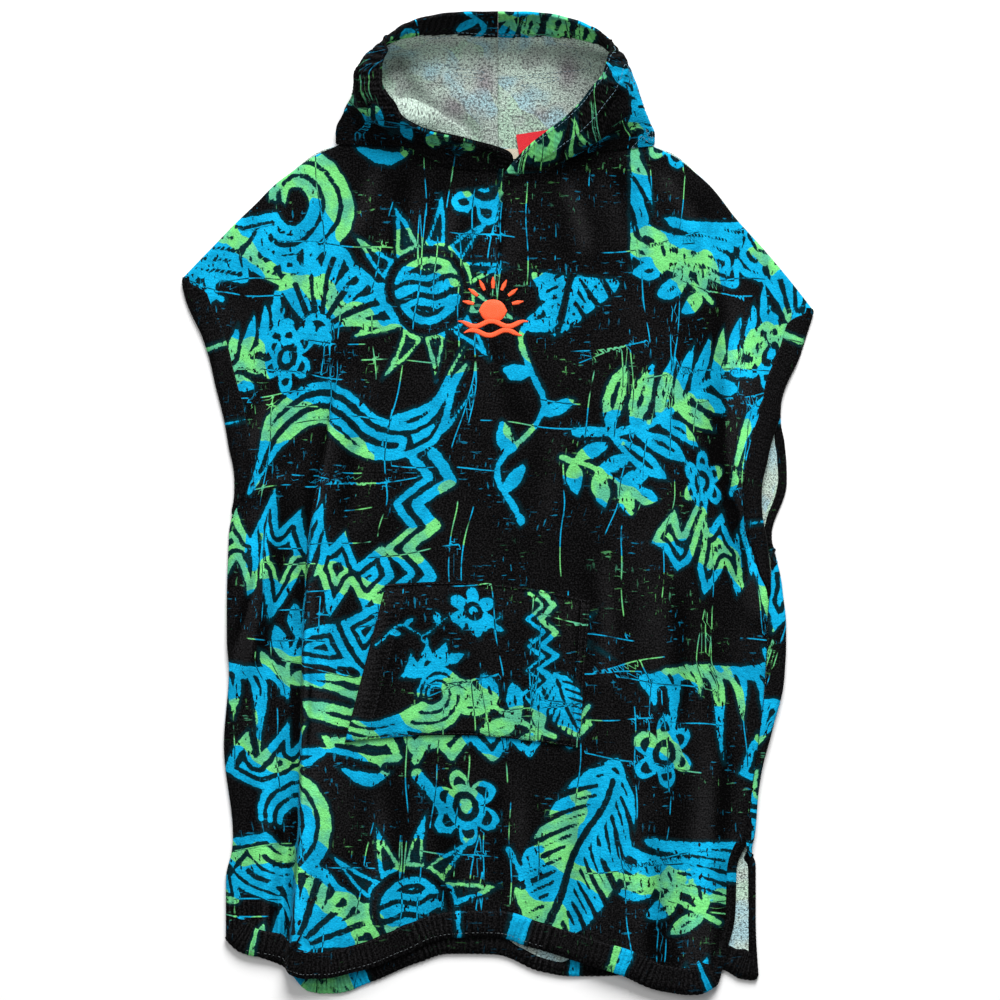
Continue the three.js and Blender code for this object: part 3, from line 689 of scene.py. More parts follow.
def new_object(name, verts, quads, materials, slots=None, triangles=()):
    """A mesh object from vertices in millimetres, rows of four vertex numbers and rows of three."""
    mesh = bpy.data.meshes.new(name)
    verts = np.asarray(verts, float).reshape(-1, 3) + np.array([0, MIDDLE_Y, 0])
    quads = np.asarray(quads, np.int32).reshape(-1, 4)
    triangles = np.asarray(triangles, np.int32).reshape(-1, 3)
    corners = np.concatenate([quads.ravel(), triangles.ravel()])
    starts = np.concatenate([np.arange(len(quads)) * 4, quads.size + np.arange(len(triangles)) * 3])
    mesh.vertices.add(len(verts))
    mesh.vertices.foreach_set("co", (verts * MM).ravel())
    mesh.loops.add(len(corners))
    mesh.loops.foreach_set("vertex_index", corners)
    mesh.polygons.add(len(starts))
    mesh.polygons.foreach_set("loop_start", starts.astype(np.int32))
    mesh.polygons.foreach_set("use_smooth", np.ones(len(starts), bool))
    for material in materials:
        mesh.materials.append(material)
    if slots is not None:
        mesh.polygons.foreach_set("material_index", np.asarray(slots, np.int32))
    mesh.update(calc_edges=True)
    mesh.validate()
    piece = bpy.data.objects.new(name, mesh)
    bpy.context.collection.objects.link(piece)
    return piece


def add_print(piece, cloth, fields, motifs=MOTIFS):
    """Stores the print's distances and the flat coordinates on the vertices. The field bare keeps shapes off a
    place, filled covers one, and the others are stored as they are."""
    cloth = np.asarray(cloth).reshape(-1, 2)
    mesh = piece.data
    flat = np.column_stack([cloth, np.zeros(len(cloth))])
    mesh.attributes.new("cloth", "FLOAT_VECTOR", "POINT").data.foreach_set("vector", flat.ravel())
    ink, scratch, scratch_near = print_fields(cloth, motifs)
    ink = np.maximum(ink, fields.get("bare", ink))
    ink = np.minimum(ink, fields.get("filled", ink))
    stored = {"ink": ink, "scratch": scratch, "scratch_near": scratch_near}
    stored.update({name: fields[name] for name in fields if name not in ("bare", "filled")})
    for name, values in stored.items():
        mesh.attributes.new(name, "FLOAT", "POINT").data.foreach_set("value", values)


def grid_quads(rows, columns, first=0, turn=False):
    i, j = np.meshgrid(np.arange(rows - 1), np.arange(columns - 1), indexing="ij")
    a = first + i * columns + j
    quads = stacked(a, a + columns, a + columns + 1, a + 1).reshape(-1, 4)
    return quads[:, ::-1] if turn else quads


def ring_of(rows, columns):
    """Row and column numbers round a grid's edge, clockwise seen from its upper face."""
    i = np.concatenate([0 * columns[:-1], rows[:-1], 0 * columns[:-1] + rows[-1], rows[:0:-1]])
    j = np.concatenate([columns[:-1], 0 * rows[:-1] + columns[-1], columns[:0:-1], 0 * rows[:-1]])
    return i, j


def every(count, step):
    """Each step-th number below count, with the last one."""
    picked = np.arange(0, count - 1, step)
    return np.append(picked, count - 1)


def wall_object(name, upper, lower, cloth, materials, slots=(0, 1, 0), coarse=1, fields=None, motifs=MOTIFS):
    """A closed printed wall between two grids: upper face, lower face, then the edges all round.
    The lower face may keep only every so many rows and columns. Each field has a grid for either face."""
    rows, columns = upper.shape[:2]
    low_rows, low_columns = every(rows, coarse), every(columns, coarse)
    kept = np.ix_(low_rows, low_columns)
    low_shape = (len(low_rows), len(low_columns))
    low_at = np.full((rows, columns), -1)
    low_at[kept] = rows * columns + np.arange(low_shape[0] * low_shape[1]).reshape(low_shape)
    quads = np.concatenate([grid_quads(rows, columns), grid_quads(*low_shape, rows * columns, turn=True)])
    i, j = ring_of(np.arange(rows), np.arange(columns))
    fine, under = i * columns + j, low_at[i, j]
    held = under[0]
    triangles = []
    for k in range(len(fine)):
        after = (k + 1) % len(fine)
        triangles.append((fine[k], fine[after], held))
        if under[after] >= 0:
            triangles.append((fine[after], under[after], held))
            held = under[after]
    face_slots = np.concatenate([
        (np.ones((rows - 1, columns - 1)) * slots[0]).ravel(),
        (np.ones((low_shape[0] - 1, low_shape[1] - 1)) * slots[1]).ravel(),
        np.full(len(triangles), slots[2]),
    ])
    verts = np.concatenate([upper.reshape(-1, 3), lower[kept].reshape(-1, 3)])
    piece = new_object(name, verts, quads, materials, face_slots, triangles)
    stored = {}
    for key, (above, below) in (fields or {}).items():
        stored[key] = np.concatenate([above.ravel(), below[kept].ravel()])
    add_print(piece, np.concatenate([cloth.reshape(-1, 2), cloth[kept].reshape(-1, 2)]), stored, motifs)
    return piece


def loop_object(name, rings, materials):
    """A closed tube from rings of points, with its two ends capped."""
    count, around = rings.shape[:2]
    i, k = np.meshgrid(np.arange(count - 1), np.arange(around), indexing="ij")
    a, b = i * around + k, i * around + (k + 1) % around
    body = stacked(a, b, b + around, a + around).reshape(-1, 4)
    caps = []
    for first, turn in ((0, True), ((count - 1) * around, False)):
        for k in range(around // 2 - 1):
            quad = [first + k, first + k + 1, first + around - 2 - k, first + around - 1 - k]
            if len(set(quad)) == 4:
                caps.append(quad if turn else quad[::-1])
    return new_object(name, rings.reshape(-1, 3), np.concatenate([body, np.array(caps)]), materials)


# Materials

class Value:
    """One value in a material's nodes. Arithmetic on it adds nodes."""

    def __init__(self, graph, socket):
        self.graph = graph
        self.socket = socket

    def __add__(self, other):
        return self.graph.math("ADD", self, other)

    def __mul__(self, other):
        return self.graph.math("MULTIPLY", self, other)

    def __sub__(self, other):
        return self.graph.math("SUBTRACT", self, other)

    def __rsub__(self, other):
        return self.graph.math("SUBTRACT", other, self)

    def __abs__(self):
        return self.graph.math("ABSOLUTE", self)


class Graph:
    """Shorthand for building one material's nodes."""

    def __init__(self, name):
        self.material = bpy.data.materials.new(name)
        self.material.use_nodes = True
        self.tree = self.material.node_tree
        self.tree.nodes.clear()
        self.shader = self.tree.nodes.new("ShaderNodeBsdfPrincipled")
        output = self.tree.nodes.new("ShaderNodeOutputMaterial")
        self.tree.links.new(self.shader.outputs[0], output.inputs[0])

    def put(self, node, values):
        """Gives some of a node's inputs a number, a colour or another node's output."""
        for key, value in values.items():
            socket = node.inputs[key]
            if isinstance(value, Value):
                self.tree.links.new(value.socket, socket)
            elif isinstance(value, tuple) and socket.type == "RGBA":
                socket.default_value = (*value, 1)
            else:
                socket.default_value = value

    def node(self, kind, output, values, **settings):
        """Makes a node and gives one of its outputs."""
        made = self.tree.nodes.new(kind)
        for key, value in settings.items():
            setattr(made, key, value)
        self.put(made, values)
        return Value(self, made.outputs[output])

    def math(self, operation, a, b=0.0, clamp=False):
        return self.node("ShaderNodeMath", 0, {0: a, 1: b}, operation=operation, use_clamp=clamp)

    def most(self, a, b):
        return self.math("MAXIMUM", a, b)

    def ramp(self, value, low, high):
        """0 below low, 1 above high, smooth between."""
        values = {0: value, 1: low, 2: high, 3: 0.0, 4: 1.0}
        return self.node("ShaderNodeMapRange", 0, values, interpolation_type="SMOOTHSTEP")

    def mix(self, factor, a, b, blend="MIX"):
        return self.node("ShaderNodeMix", 2, {0: factor, 6: a, 7: b}, data_type="RGBA", blend_type=blend)

    def attribute(self, name, output="Fac"):
        return self.node("ShaderNodeAttribute", output, {}, attribute_name=name)

    def noise_at(self, vector, scale, move=(0, 0, 0), detail=2.0):
        placed = self.node("ShaderNodeVectorMath", 0, {0: vector, 1: scale, 2: move}, operation="MULTIPLY_ADD")
        return self.node("ShaderNodeTexNoise", "Fac", {"Vector": placed, "Scale": 1.0, "Detail": detail})

    def noise(self, vector, size, detail=2.0, move=0.0, stretch=(1, 1)):
        """Noise from 0 to 1 with blobs about size millimetres across on the flat cloth."""
        return self.noise_at(vector, (stretch[0] / size, stretch[1] / size, 1), (move, move, 0), detail)

    def bump(self, height, strength, distance):
        values = {"Strength": strength, "Distance": distance, "Height": height}
        return self.node("ShaderNodeBump", "Normal", values)

    def finished(self, color, roughness, specular, **inputs):
        """The material, once its shader has its values."""
        values = {"Base Color": color, "Roughness": roughness, "Specular IOR Level": specular}
        values.update({key.replace("_", " "): value for key, value in inputs.items()})
        self.put(self.shader, values)
        return self.material


BLACK = (0.0013, 0.0012, 0.0013)
BLACK_NAP_AND_HIGHLIGHT = (0.0142, 0.0140, 0.0148)
TEAL = (0.001, 0.022, 0.030)
BLUE = (0.004, 0.345, 0.610)
DEEP_BLUE = (0.002, 0.16, 0.30)
GREEN = (0.148, 0.570, 0.168)
TERRY = (0.47, 0.585, 0.51)
TERRY_STAIN = (0.30, 0.285, 0.30)
TERRY_SPECK = (0.05, 0.055, 0.055)
GHOST_BLUE = (0.34, 0.52, 0.56)
GHOST_GREEN = (0.43, 0.61, 0.48)


def printed(g):
    """The flat coordinates, the print's mask, how far it leans to green, how near a point is to a dyed edge,
    and the dry brush marks."""
    cloth = g.attribute("cloth", "Vector")
    ink = g.attribute("ink")
    quiet = g.attribute("quiet")
    fine = g.noise(cloth, 2.0, 2) - 0.5
    rough = g.noise(cloth, 9, 3, 7.3) - 0.5
    # Ragged edges, chips in worn places, and an unprinted ring and heart inside large shapes
    edge = ink + 0.5 + (fine * 1.6 + rough * 4.2)
    worn_place = g.ramp(g.noise(cloth, 85, 1, 31.0), 0.50, 0.61)
    chips = g.noise(cloth, 6.5, 3, 3.1, (1.6, 0.8)) - 0.59
    edge = edge + worn_place * g.most(chips * 120, 0.0)
    deep = ink * -1.0 + (fine * 1.2 + rough * 5.0)
    edge = g.most(edge, g.most(2.5 - abs(deep - 10.0), deep - 17.0))
    # Scratched lines turn print to black and black to print
    worn = g.noise(cloth, 22, 2, 12.0)
    line = g.ramp(abs(g.attribute("scratch")), worn * 1.25 + 0.15, worn * 0.5)
    line = line * g.ramp(g.attribute("scratch_near"), 6.0, 3.5) * g.ramp(worn, 0.40, 0.50) * (1.0 - quiet)
    mask = abs(g.ramp(edge, 0.35, -0.35) - line)
    # Blue and green in slow bands across the cloth
    x = g.node("ShaderNodeSeparateXYZ", 0, {0: cloth})
    y = g.node("ShaderNodeSeparateXYZ", 1, {0: cloth})
    flow = g.noise(cloth, 150, 1, 55.0) * 15.0 + g.noise(cloth, 42, 1, 21.0) * 4.2 + (x * 0.030 + y * 0.052)
    turn = g.math("SINE", flow) + g.attribute("lean") * 3.0
    lean = g.ramp(turn + rough * 0.35, 0.42, 0.47)
    zone = g.most(g.ramp(g.noise(cloth, 62, 1, 77.0), 0.45, 0.58), g.attribute("brushed"))
    tall = g.noise(cloth, 5.0, 3, 14.0, (1.5, 0.35))
    wide = g.noise(cloth, 5.0, 3, 41.0, (0.35, 1.5))
    dry = g.ramp(g.most(tall, wide), 0.635, 0.69) * zone * (0.8 - quiet * 0.6)
    return cloth, mask, lean, g.ramp(edge, 5.0, 0.0), dry


def velour_material(name):
    """Sheared pile: the bright print on black, with a soft nap."""
    g = Graph(name)
    cloth, mask, lean, bleed, dry = printed(g)
    thick_dye = g.ramp(g.noise(cloth, 26, 3, 19.0), 0.60, 0.36)
    dye = g.mix(thick_dye * 0.45, g.mix(lean, BLUE, GREEN), DEEP_BLUE)
    # Painted light and shade: crests of folds, creases and gathers lighter, troughs darker. The gathers also
    # bump the surface.
    gathers = g.math("SINE", g.attribute("gather_run") * (2 * math.pi)) * g.attribute("gathered")
    relief_shading = g.attribute("relief_shading") + gathers * 0.55
    nap = g.noise(cloth, 1.7, 2, 2.0)
    grain = (nap - 0.5) * 2.6 + g.noise(cloth, 26, 2, 61.0) * 0.36
    # Random nap grain and the painted light and shade mix black towards the lighter nap colour.
    nap_and_painted_light = g.math("MULTIPLY", grain + 0.03 + relief_shading * 0.30, 1.0, clamp=True)
    ground = g.mix(nap_and_painted_light, BLACK, BLACK_NAP_AND_HIGHLIGHT)
    ground = g.mix(bleed * 0.8, ground, TEAL)
    ground = g.mix(dry * 0.5, ground, dye)
    # The tone's last factor is painted light and shade as well.
    tone = (nap * 0.92 + 0.36) * (g.noise(cloth, 12, 3, 9.0) * 0.36 + 0.82) * (relief_shading * 0.26 + 1.0)
    color = g.mix(1.0, g.mix(mask, ground, dye), tone, "MULTIPLY")
    height = nap * 0.7 + g.noise(cloth, 5, 2, 5.0) * 0.9 + gathers * 0.32
    normal = g.bump(height, 0.9, 0.0011)
    return g.finished(color, 0.9, 0.015, Sheen_Weight=0.03, Sheen_Roughness=0.3, Normal=normal)


def terry_material(name):
    """Looped inside: pale, with the print showing through faintly and dark specks between the loops."""
    g = Graph(name)
    cloth, _, lean, _, _ = printed(g)
    shown = g.ramp(g.attribute("ink") + (g.noise(cloth, 16, 3, 8.0) - 0.5) * 30, 9, -9)
    blot = g.ramp(g.noise(cloth, 30, 3, 40.0), 0.46, 0.62)
    blot = g.most(blot * 0.4, g.attribute("stain"))
    ground = g.mix(blot, TERRY, TERRY_STAIN)
    color = g.mix(shown, ground, g.mix(lean, GHOST_BLUE, GHOST_GREEN))
    loops = g.noise(cloth, 1.5, 2, 3.0)
    specks = g.ramp(g.noise(cloth, 2.5, 3, 66.0), blot * 0.05 + 0.47, blot * 0.05 + 0.39)
    # The tone's second factor is painted light and shade: crests lighter, troughs darker.
    tone = (loops * 2.1 - 0.22) * (g.attribute("relief_shading") * 0.55 + 1.0)
    color = g.mix(1.0, color, tone, "MULTIPLY")
    color = g.mix(specks * 0.72, color, TERRY_SPECK)
    return g.finished(color, 0.96, 0.05, Normal=g.bump(loops, 1.0, 0.0014))


def plain_material(name, color, roughness, thread=0.0):
    """One colour, with the weave of a thread of some width in metres if one is given."""
    g = Graph(name)
    if not thread:
        return g.finished(color, roughness, 0.25)
    place = g.node("ShaderNodeTexCoord", "Object", {})
    height = g.noise_at(place, (1 / thread, 3 / thread, 1 / thread))
    color = g.mix(1.0, color, height * 0.5 + 0.75, "MULTIPLY")
    return g.finished(color, roughness, 0.25, Normal=g.bump(height, 0.6, 0.0006))


velour = velour_material("velour_print")
terry = terry_material("terry_inside")
black_thread = plain_material("thread_black", (0.006, 0.006, 0.008), 0.6)
white_thread = plain_material("thread_white", (0.10, 0.115, 0.12), 0.6)
pale_thread = plain_material("thread_pale", (0.13, 0.22, 0.27), 0.6)
tape_cotton = plain_material("tape_cotton", (0.42, 0.37, 0.29), 0.85, 0.0012)
label_red = plain_material("label_red", (0.47, 0.008, 0.016), 0.6, 0.0008)
badge_thread = plain_material("badge_thread", (0.78, 0.085, 0.022), 0.45, 0.0009)


# Panels

def blended_stations(parts):
    """Stations from 0 to 1 out of (end, count) parts, each evenly filled."""
    out = [0.0]
    for end, count in parts:
        out.extend(np.linspace(out[-1], end, count + 1)[1:])
    return np.array(out)


EDGE_STEPS = (0.5, 1.4, 2.8, 4.6)


def edged_stations(length, middle):
    """Stations over a length in millimetres, finer close to its two ends, with the given parts between."""
    start = [(step / length, 1) for step in EDGE_STEPS]
    end = [(1 - step / length, 1) for step in reversed(EDGE_STEPS)] + [(1, 1)]
    return blended_stations(start + middle + end)


def even_stations(length, count):
    return edged_stations(length, [(1 - EDGE_REACH / length, count)])


PANEL_LENGTH = 790
EDGE_REACH = 6
SEAM_X = 2.0
# Steps across the front: to the long fold, over it, to the centre seam, over it, and to the right edge
FRONT_STEPS = (34, 16, 66, 2, 106)
# Width of one gathered rib
RIB_STEP = 4.9
# Stands for no print near a place
CLEAR = 12.0

# Cloth that the first two folds hide, where the print breaks off
FOLD_TUCKS = (17, 11)


def front_points():
    """The front's outer face, with columns along the long fold and the centre seam."""
    fold_place = fold_curves[0][2]
    points = []
    for v in even_stations(PANEL_LENGTH, 306):
        left_x, right_x = front_plan(0.0, v)[0], front_plan(1.0, v)[0]
        width = right_x - left_x
        fold = (fold_place(front_plan(0.2, v)[1]) - left_x) / width
        seam = (SEAM_X - left_x) / width
        beside_fold, beside_seam = 9 / width, 0.6 / width
        ends = (fold - beside_fold, fold + beside_fold, seam - beside_seam, seam + beside_seam,
                1 - EDGE_REACH / width)
        x, y = front_plan(edged_stations(width, list(zip(ends, FRONT_STEPS))), v)
        points.append(stacked(x, y, front_height(x, y)))
    points = np.array(points)
    # The centre seam below the neck is a shallow groove.
    x, y = points[..., 0], points[..., 1]
    points[..., 2] -= 1.5 * ease((y - 226) / 12) * ease((366 - y) / 10) * hill(x - SEAM_X, 2.2)
    return points


def make_front():
    points = front_points()
    x, y = points[..., 0], points[..., 1]
    along = lengths(points, 1)
    seam_column = len(EDGE_STEPS) + sum(FRONT_STEPS[:3]) + 1
    hidden = np.zeros_like(x)
    for (_, _, place, rise), tuck, beside_crest in zip(fold_curves, FOLD_TUCKS, (5, 3)):
        hidden += tuck * ease(rise(y) / 4) * ease((x - place(y) + beside_crest) / 2.4)
    flat = stacked(along - along[:, seam_column : seam_column + 1] + hidden, y)
    # The print is cut short on both sides of the centre seam.
    patch = np.minimum(np.minimum(x - SEAM_X, 132 - x), np.minimum(y - 236 + 0.1 * x, 400 - y))
    patch = np.maximum(patch, np.minimum(np.minimum(x + 78, SEAM_X - x), y - 318 - 0.15 * x))
    bare = np.clip(patch, -60, 20)
    # Painted light and shade for the materials: crests of the front's folds and creases lighter, troughs
    # darker.
    relief_shading = relief_of(points, grid_normals(points) * -1)
    left, right = x - left_edge(y), front_right_edge(y) - x
    left_of_fold = ease((fold_curves[0][2](y) - x) / 4)
    near_hem = ease((48 + 16 * left_of_fold - y + front_hem(x)) / 24) * (0.45 + 0.55 * left_of_fold)
    near_hole = 0.12 * ease((34 - np.minimum(left, right)) / 10) * ease((y - 2) / 10) * ease((226 - y) / 10)
    gather_run = np.where(near_hole > near_hem, y, x) / RIB_STEP
    fields = {
        "bare": (bare, bare), "relief_shading": (relief_shading, 0 * relief_shading), "gather_run": (gather_run, gather_run),
        "gathered": (np.maximum(near_hem, near_hole), 0 * relief_shading),
    }
    # Sewn edges without a hem round down to the back panel.
    to_edge = np.minimum(np.minimum(left, right), lengths(points[..., :2]))
    points[..., 2] -= 3.0 * (1 - rounded_edge(to_edge, 6.5))
    surface = Surface(points, flat, flip=True)
    lower = points - surface.normals * WALL
    lower[..., 2] = np.maximum(WALL + GAP - 0.2, np.minimum(lower[..., 2], points[..., 2] - 0.4))
    piece = wall_object("front_cloth", points, lower, flat, [velour, terry], coarse=3, fields=fields)
    return piece, surface


def make_back():
    """The back panel lies flat, and its right edge rolls up and over between the armhole and the slit."""
    flat_steps, roll_steps = 84, 26
    low, turn = WALL / 2, ROLL_RADIUS + WALL / 2
    flat_end = 1 - (turn + 1) / 540
    u = np.linspace(0, flat_end, flat_steps + 1)
    share = np.linspace(0, 1, roll_steps + 1)[1:]
    arc = math.pi * ROLL_RADIUS
    middle = []
    for v in even_stations(PANEL_LENGTH, 170):
        edge_x, edge_y = back_plan(1.0, v)
        over = float(back_over(edge_y))
        rolled = float(ease(over / 4))
        x, y = back_plan(u, v)
        lying = stacked(x + 0.5 * (1 - u / flat_end), y, np.full_like(x, low))
        fx, fy = back_plan(mix(flat_end, 1, share), v)
        along = share * (arc + max(0, over - turn))
        angle = np.minimum(along / ROLL_RADIUS, math.pi)
        roll_x = edge_x - turn + ROLL_RADIUS * np.sin(angle) - np.maximum(0, along - arc)
        roll_z = low + ROLL_RADIUS * (1 - np.cos(angle))
        turned_up = stacked(mix(fx, roll_x, rolled), fy, mix(low, roll_z, rolled))
        middle.append(np.concatenate([lying, turned_up]))
    middle = np.array(middle)
    flat = stacked(300 - lengths(middle, 1), middle[..., 1] + 37)
    half = grid_normals(middle) * WALL / 2
    outer, inner = middle + half, middle - half
    outer[..., 2] = np.maximum(0, outer[..., 2])
    inner[..., 2] = np.maximum(INNER_LOW, inner[..., 2])
    piece = wall_object("back_cloth", inner, outer, flat, [terry, velour], (0, 1, 1))
    return piece, Surface(inner, flat, flip=True)


# Rings of a hem: shares of its depth on the outside, degrees round the edge and shares of its depth underneath
HEM_SHARES = (1, 0.965, 0.92, 0.85, 0.72, 0.58, 0.45, 0.32, 0.2, 0.1)
HEM_TURN = (62, 28, -5, -38, -68)
HEM_UNDER = (0.12, 0.4, 0.75)
# The hem's row of stitches: how far in from the edge, and how wide its groove
STITCH_INSET = 3.4
STITCH_REACH = 1.3
# Distance between the stations along a hem
HEM_STEP = 1.3


def make_hem(name, surface, edge, span, depth, dyed, rib=0.95):
    """A turned hem that wraps a panel's edge, with the ribs that its stitching pulls into it.
    The hem is black but for the dyed stretches, given as shares of its length with a lean to blue or green."""
    ends = np.linspace(span[0], span[1], 60)
    fixed = np.full_like(ends, 1.0 if edge in ("hem", "right") else 0.0)
    line = sampled(surface.points, *((ends, fixed) if edge in ("hem", "top") else (fixed, ends)))
    length = lengths(line)
    whole = length[-1]
    run = np.linspace(0, whole, int(whole / HEM_STEP))
    t = np.interp(run, length, ends)
    share = run / whole
    deep = depth(share) if callable(depth) else np.full_like(run, depth)
    if edge in ("left", "right"):
        deep = deep * (0.3 + 0.7 * ease(np.minimum(run, whole - run + 24 * (span[1] > 0.99)) / 24))

    wander = 0.9 * np.sin(run / 23 + 1) + 0.6 * np.sin(run / 9.7) + 0.35 * np.sin(run / 4.1)
    wave = 0.5 + 0.5 * np.sin(2 * math.pi * (run + 2.4 * wander) / RIB_STEP)
    wave = (0.62 + 0.38 * np.sin(run / 37 + 2) * np.sin(run / 11.3)) * (2 * wave**0.7 - 1)
    rib_shading_strength = min(1.0, rib / 0.9)
    fade = ease(np.minimum(run, whole - run) / 4)
    bottom, normal, cloth_edge = surface.at_inset(edge, t, 0.3)
    inward = unit(surface.at_inset(edge, t, 5.0)[0] - bottom)
    rings, flats, rib_shading = [], [], []
    for part in HEM_SHARES:
        w = deep * part
        p, n, c = surface.at_inset(edge, t, np.maximum(w + 0.4 * wander * part, 0.05))
        within = (1 - part) * deep
        stitched = hill(w - STITCH_INSET, STITCH_REACH)
        profile = ease(within / 2.2) * (1 - 0.45 * stitched)
        ribs = rib * wave * ease(within / 2.5) * (1 - 0.35 * ease((3.5 - w) / 3.5))
        lift = np.maximum(((HEM_RISE + 0.5) * profile + ribs) * fade, 0.1 if part < 1 else -0.6)
        rings.append(p + n * lift[:, None])
        flats.append(c)
        # Painted shade in the rib troughs, along the stitching and at the hem's inner edge, and painted light
        # on the rib crests.
        rib_shading.append(rib_shading_strength * (wave * ease(within / 2.5) - 0.9 * stitched - (part == 1)))
    middle = bottom - normal * (WALL / 2 - HEM_RISE * 0.3)
    for angle in np.radians(HEM_TURN):
        out = (2.0 * math.cos(angle) + 0.45 * rib * wave) * fade
        rings.append(middle - inward * out[:, None] + normal * (WALL / 2 + HEM_RISE * 0.6) * math.sin(angle))
        flats.append(cloth_edge)
        # Painted light and shade on the ribs round the turned edge.
        rib_shading.append(0.8 * rib_shading_strength * wave)
    for part in HEM_UNDER:
        p, n, c = surface.at_inset(edge, t, deep * part)
        rings.append(p - n * (WALL + 0.25))
        flats.append(2 * cloth_edge - c)
        rib_shading.append(0 * wave)
    rings = np.stack(rings, axis=1)
    rings[..., 2] = np.maximum(rings[..., 2], 0.1)
    piece = loop_object(name, rings, [velour])
    filled = np.full(share.shape, CLEAR)
    lean = np.zeros_like(share)
    for low, high, leaning in dyed:
        within = ((high - low) / 2 - np.abs(share - (low + high) / 2)) * whole
        filled = np.minimum(filled, np.maximum(-within, -7))
        lean[within > -1.5] = leaning
    around = rings.shape[1]
    fields = {
        "bare": np.full(len(share) * around, CLEAR),
        "filled": np.repeat(filled, around),
        "lean": np.repeat(lean, around),
        "quiet": np.repeat(ease((3 - filled) / -6 + 1), around),
        "relief_shading": np.clip(np.stack(rib_shading, axis=1), -1, 1).ravel(),
    }
    add_print(piece, np.stack(flats, axis=1), fields)
    return piece


# Hood

FACING = 36.0
STRIP = 25.0


def hood_middle(table, seam_x, s, rows):
    """The middle of a hood half's cloth: s runs from the opening to the centre seam, rows from band to neck."""
    across = []
    for row, end in zip(table, HOOD_SEAM):
        row = [*row, (seam_x, *end)]
        across.append(curve_through(np.arange(len(row)), row)(s * (len(row) - 1)))
    return curve_through(np.arange(len(table)), across)((1 - rows) * (len(table) - 1))


# Creases of the hood's inside: start, end, rise towards the inside, reach on its upper right and lower left
HOOD_CREASES = [
    ((-104, 405), (-14, 358), 7.0, 2.4, 30),
    ((-101, 447), (-73, 403), -4.5, 9, 8),
    ((-60, 440), (-52, 418), 2.0, 6, 8),
    ((40, 440), (66, 414), 2.2, 9, 7),
    ((20, 412), (58, 384), -1.8, 9, 12),
    ((-30, 420), (-26, 380), 1.2, 7, 9),
]


# Printed patches of the hood's black left side: middle and reach
HOOD_PATCHES = [(-130, 384, 17), (-151, 402, 9), (-92, 372, 11), (-60, 364, 11), (-34, 357, 8)]

# Darker places of the hood's inside: middle, then reach across and down
HOOD_STAINS = [(-13, 418, 13, 30), (40, 386, 24, 11), (-42, 398, 16, 14), (70, 432, 12, 20)]


def hood_crease_height(x, y):
    total = np.zeros_like(x)
    for start, end, rise, above, below in HOOD_CREASES:
        length, along, right = beside_line(x, y, start, end)
        away = -right - 0.07 * length * np.sin(math.pi * np.clip(along, 0, 1))
        taper = ease((along + 0.05) / 0.3) * ease((1.05 - along) / 0.3)
        total += rise * taper * hill(away, np.where(away > 0, above, below))
    return total


def hood_flap_shade(x, y):
    """Painted shade and light at the fold of the hood's inside: light on its lower side, shade above it, and
    shade in the valley beside it.
    """
    length, along, right = beside_line(x, y, *HOOD_CREASES[0][:2])
    away = -right - 0.07 * length * np.sin(math.pi * np.clip(along, 0, 1))
    taper = ease((along + 0.08) / 0.15) * ease((1.08 - along) / 0.3)
    above = -0.75 * hill(away, 17) * ease(away / 1.5)
    below = 0.12 * hill(away, 26) * ease(-away / 1.5)
    _, down, off = beside_line(x, y, *HOOD_CREASES[1][:2])
    valley = -0.9 * hill(off, 8) * ease((down + 0.2) / 0.4) * ease((1.3 - down) / 0.4)
    return (above + below) * taper + valley


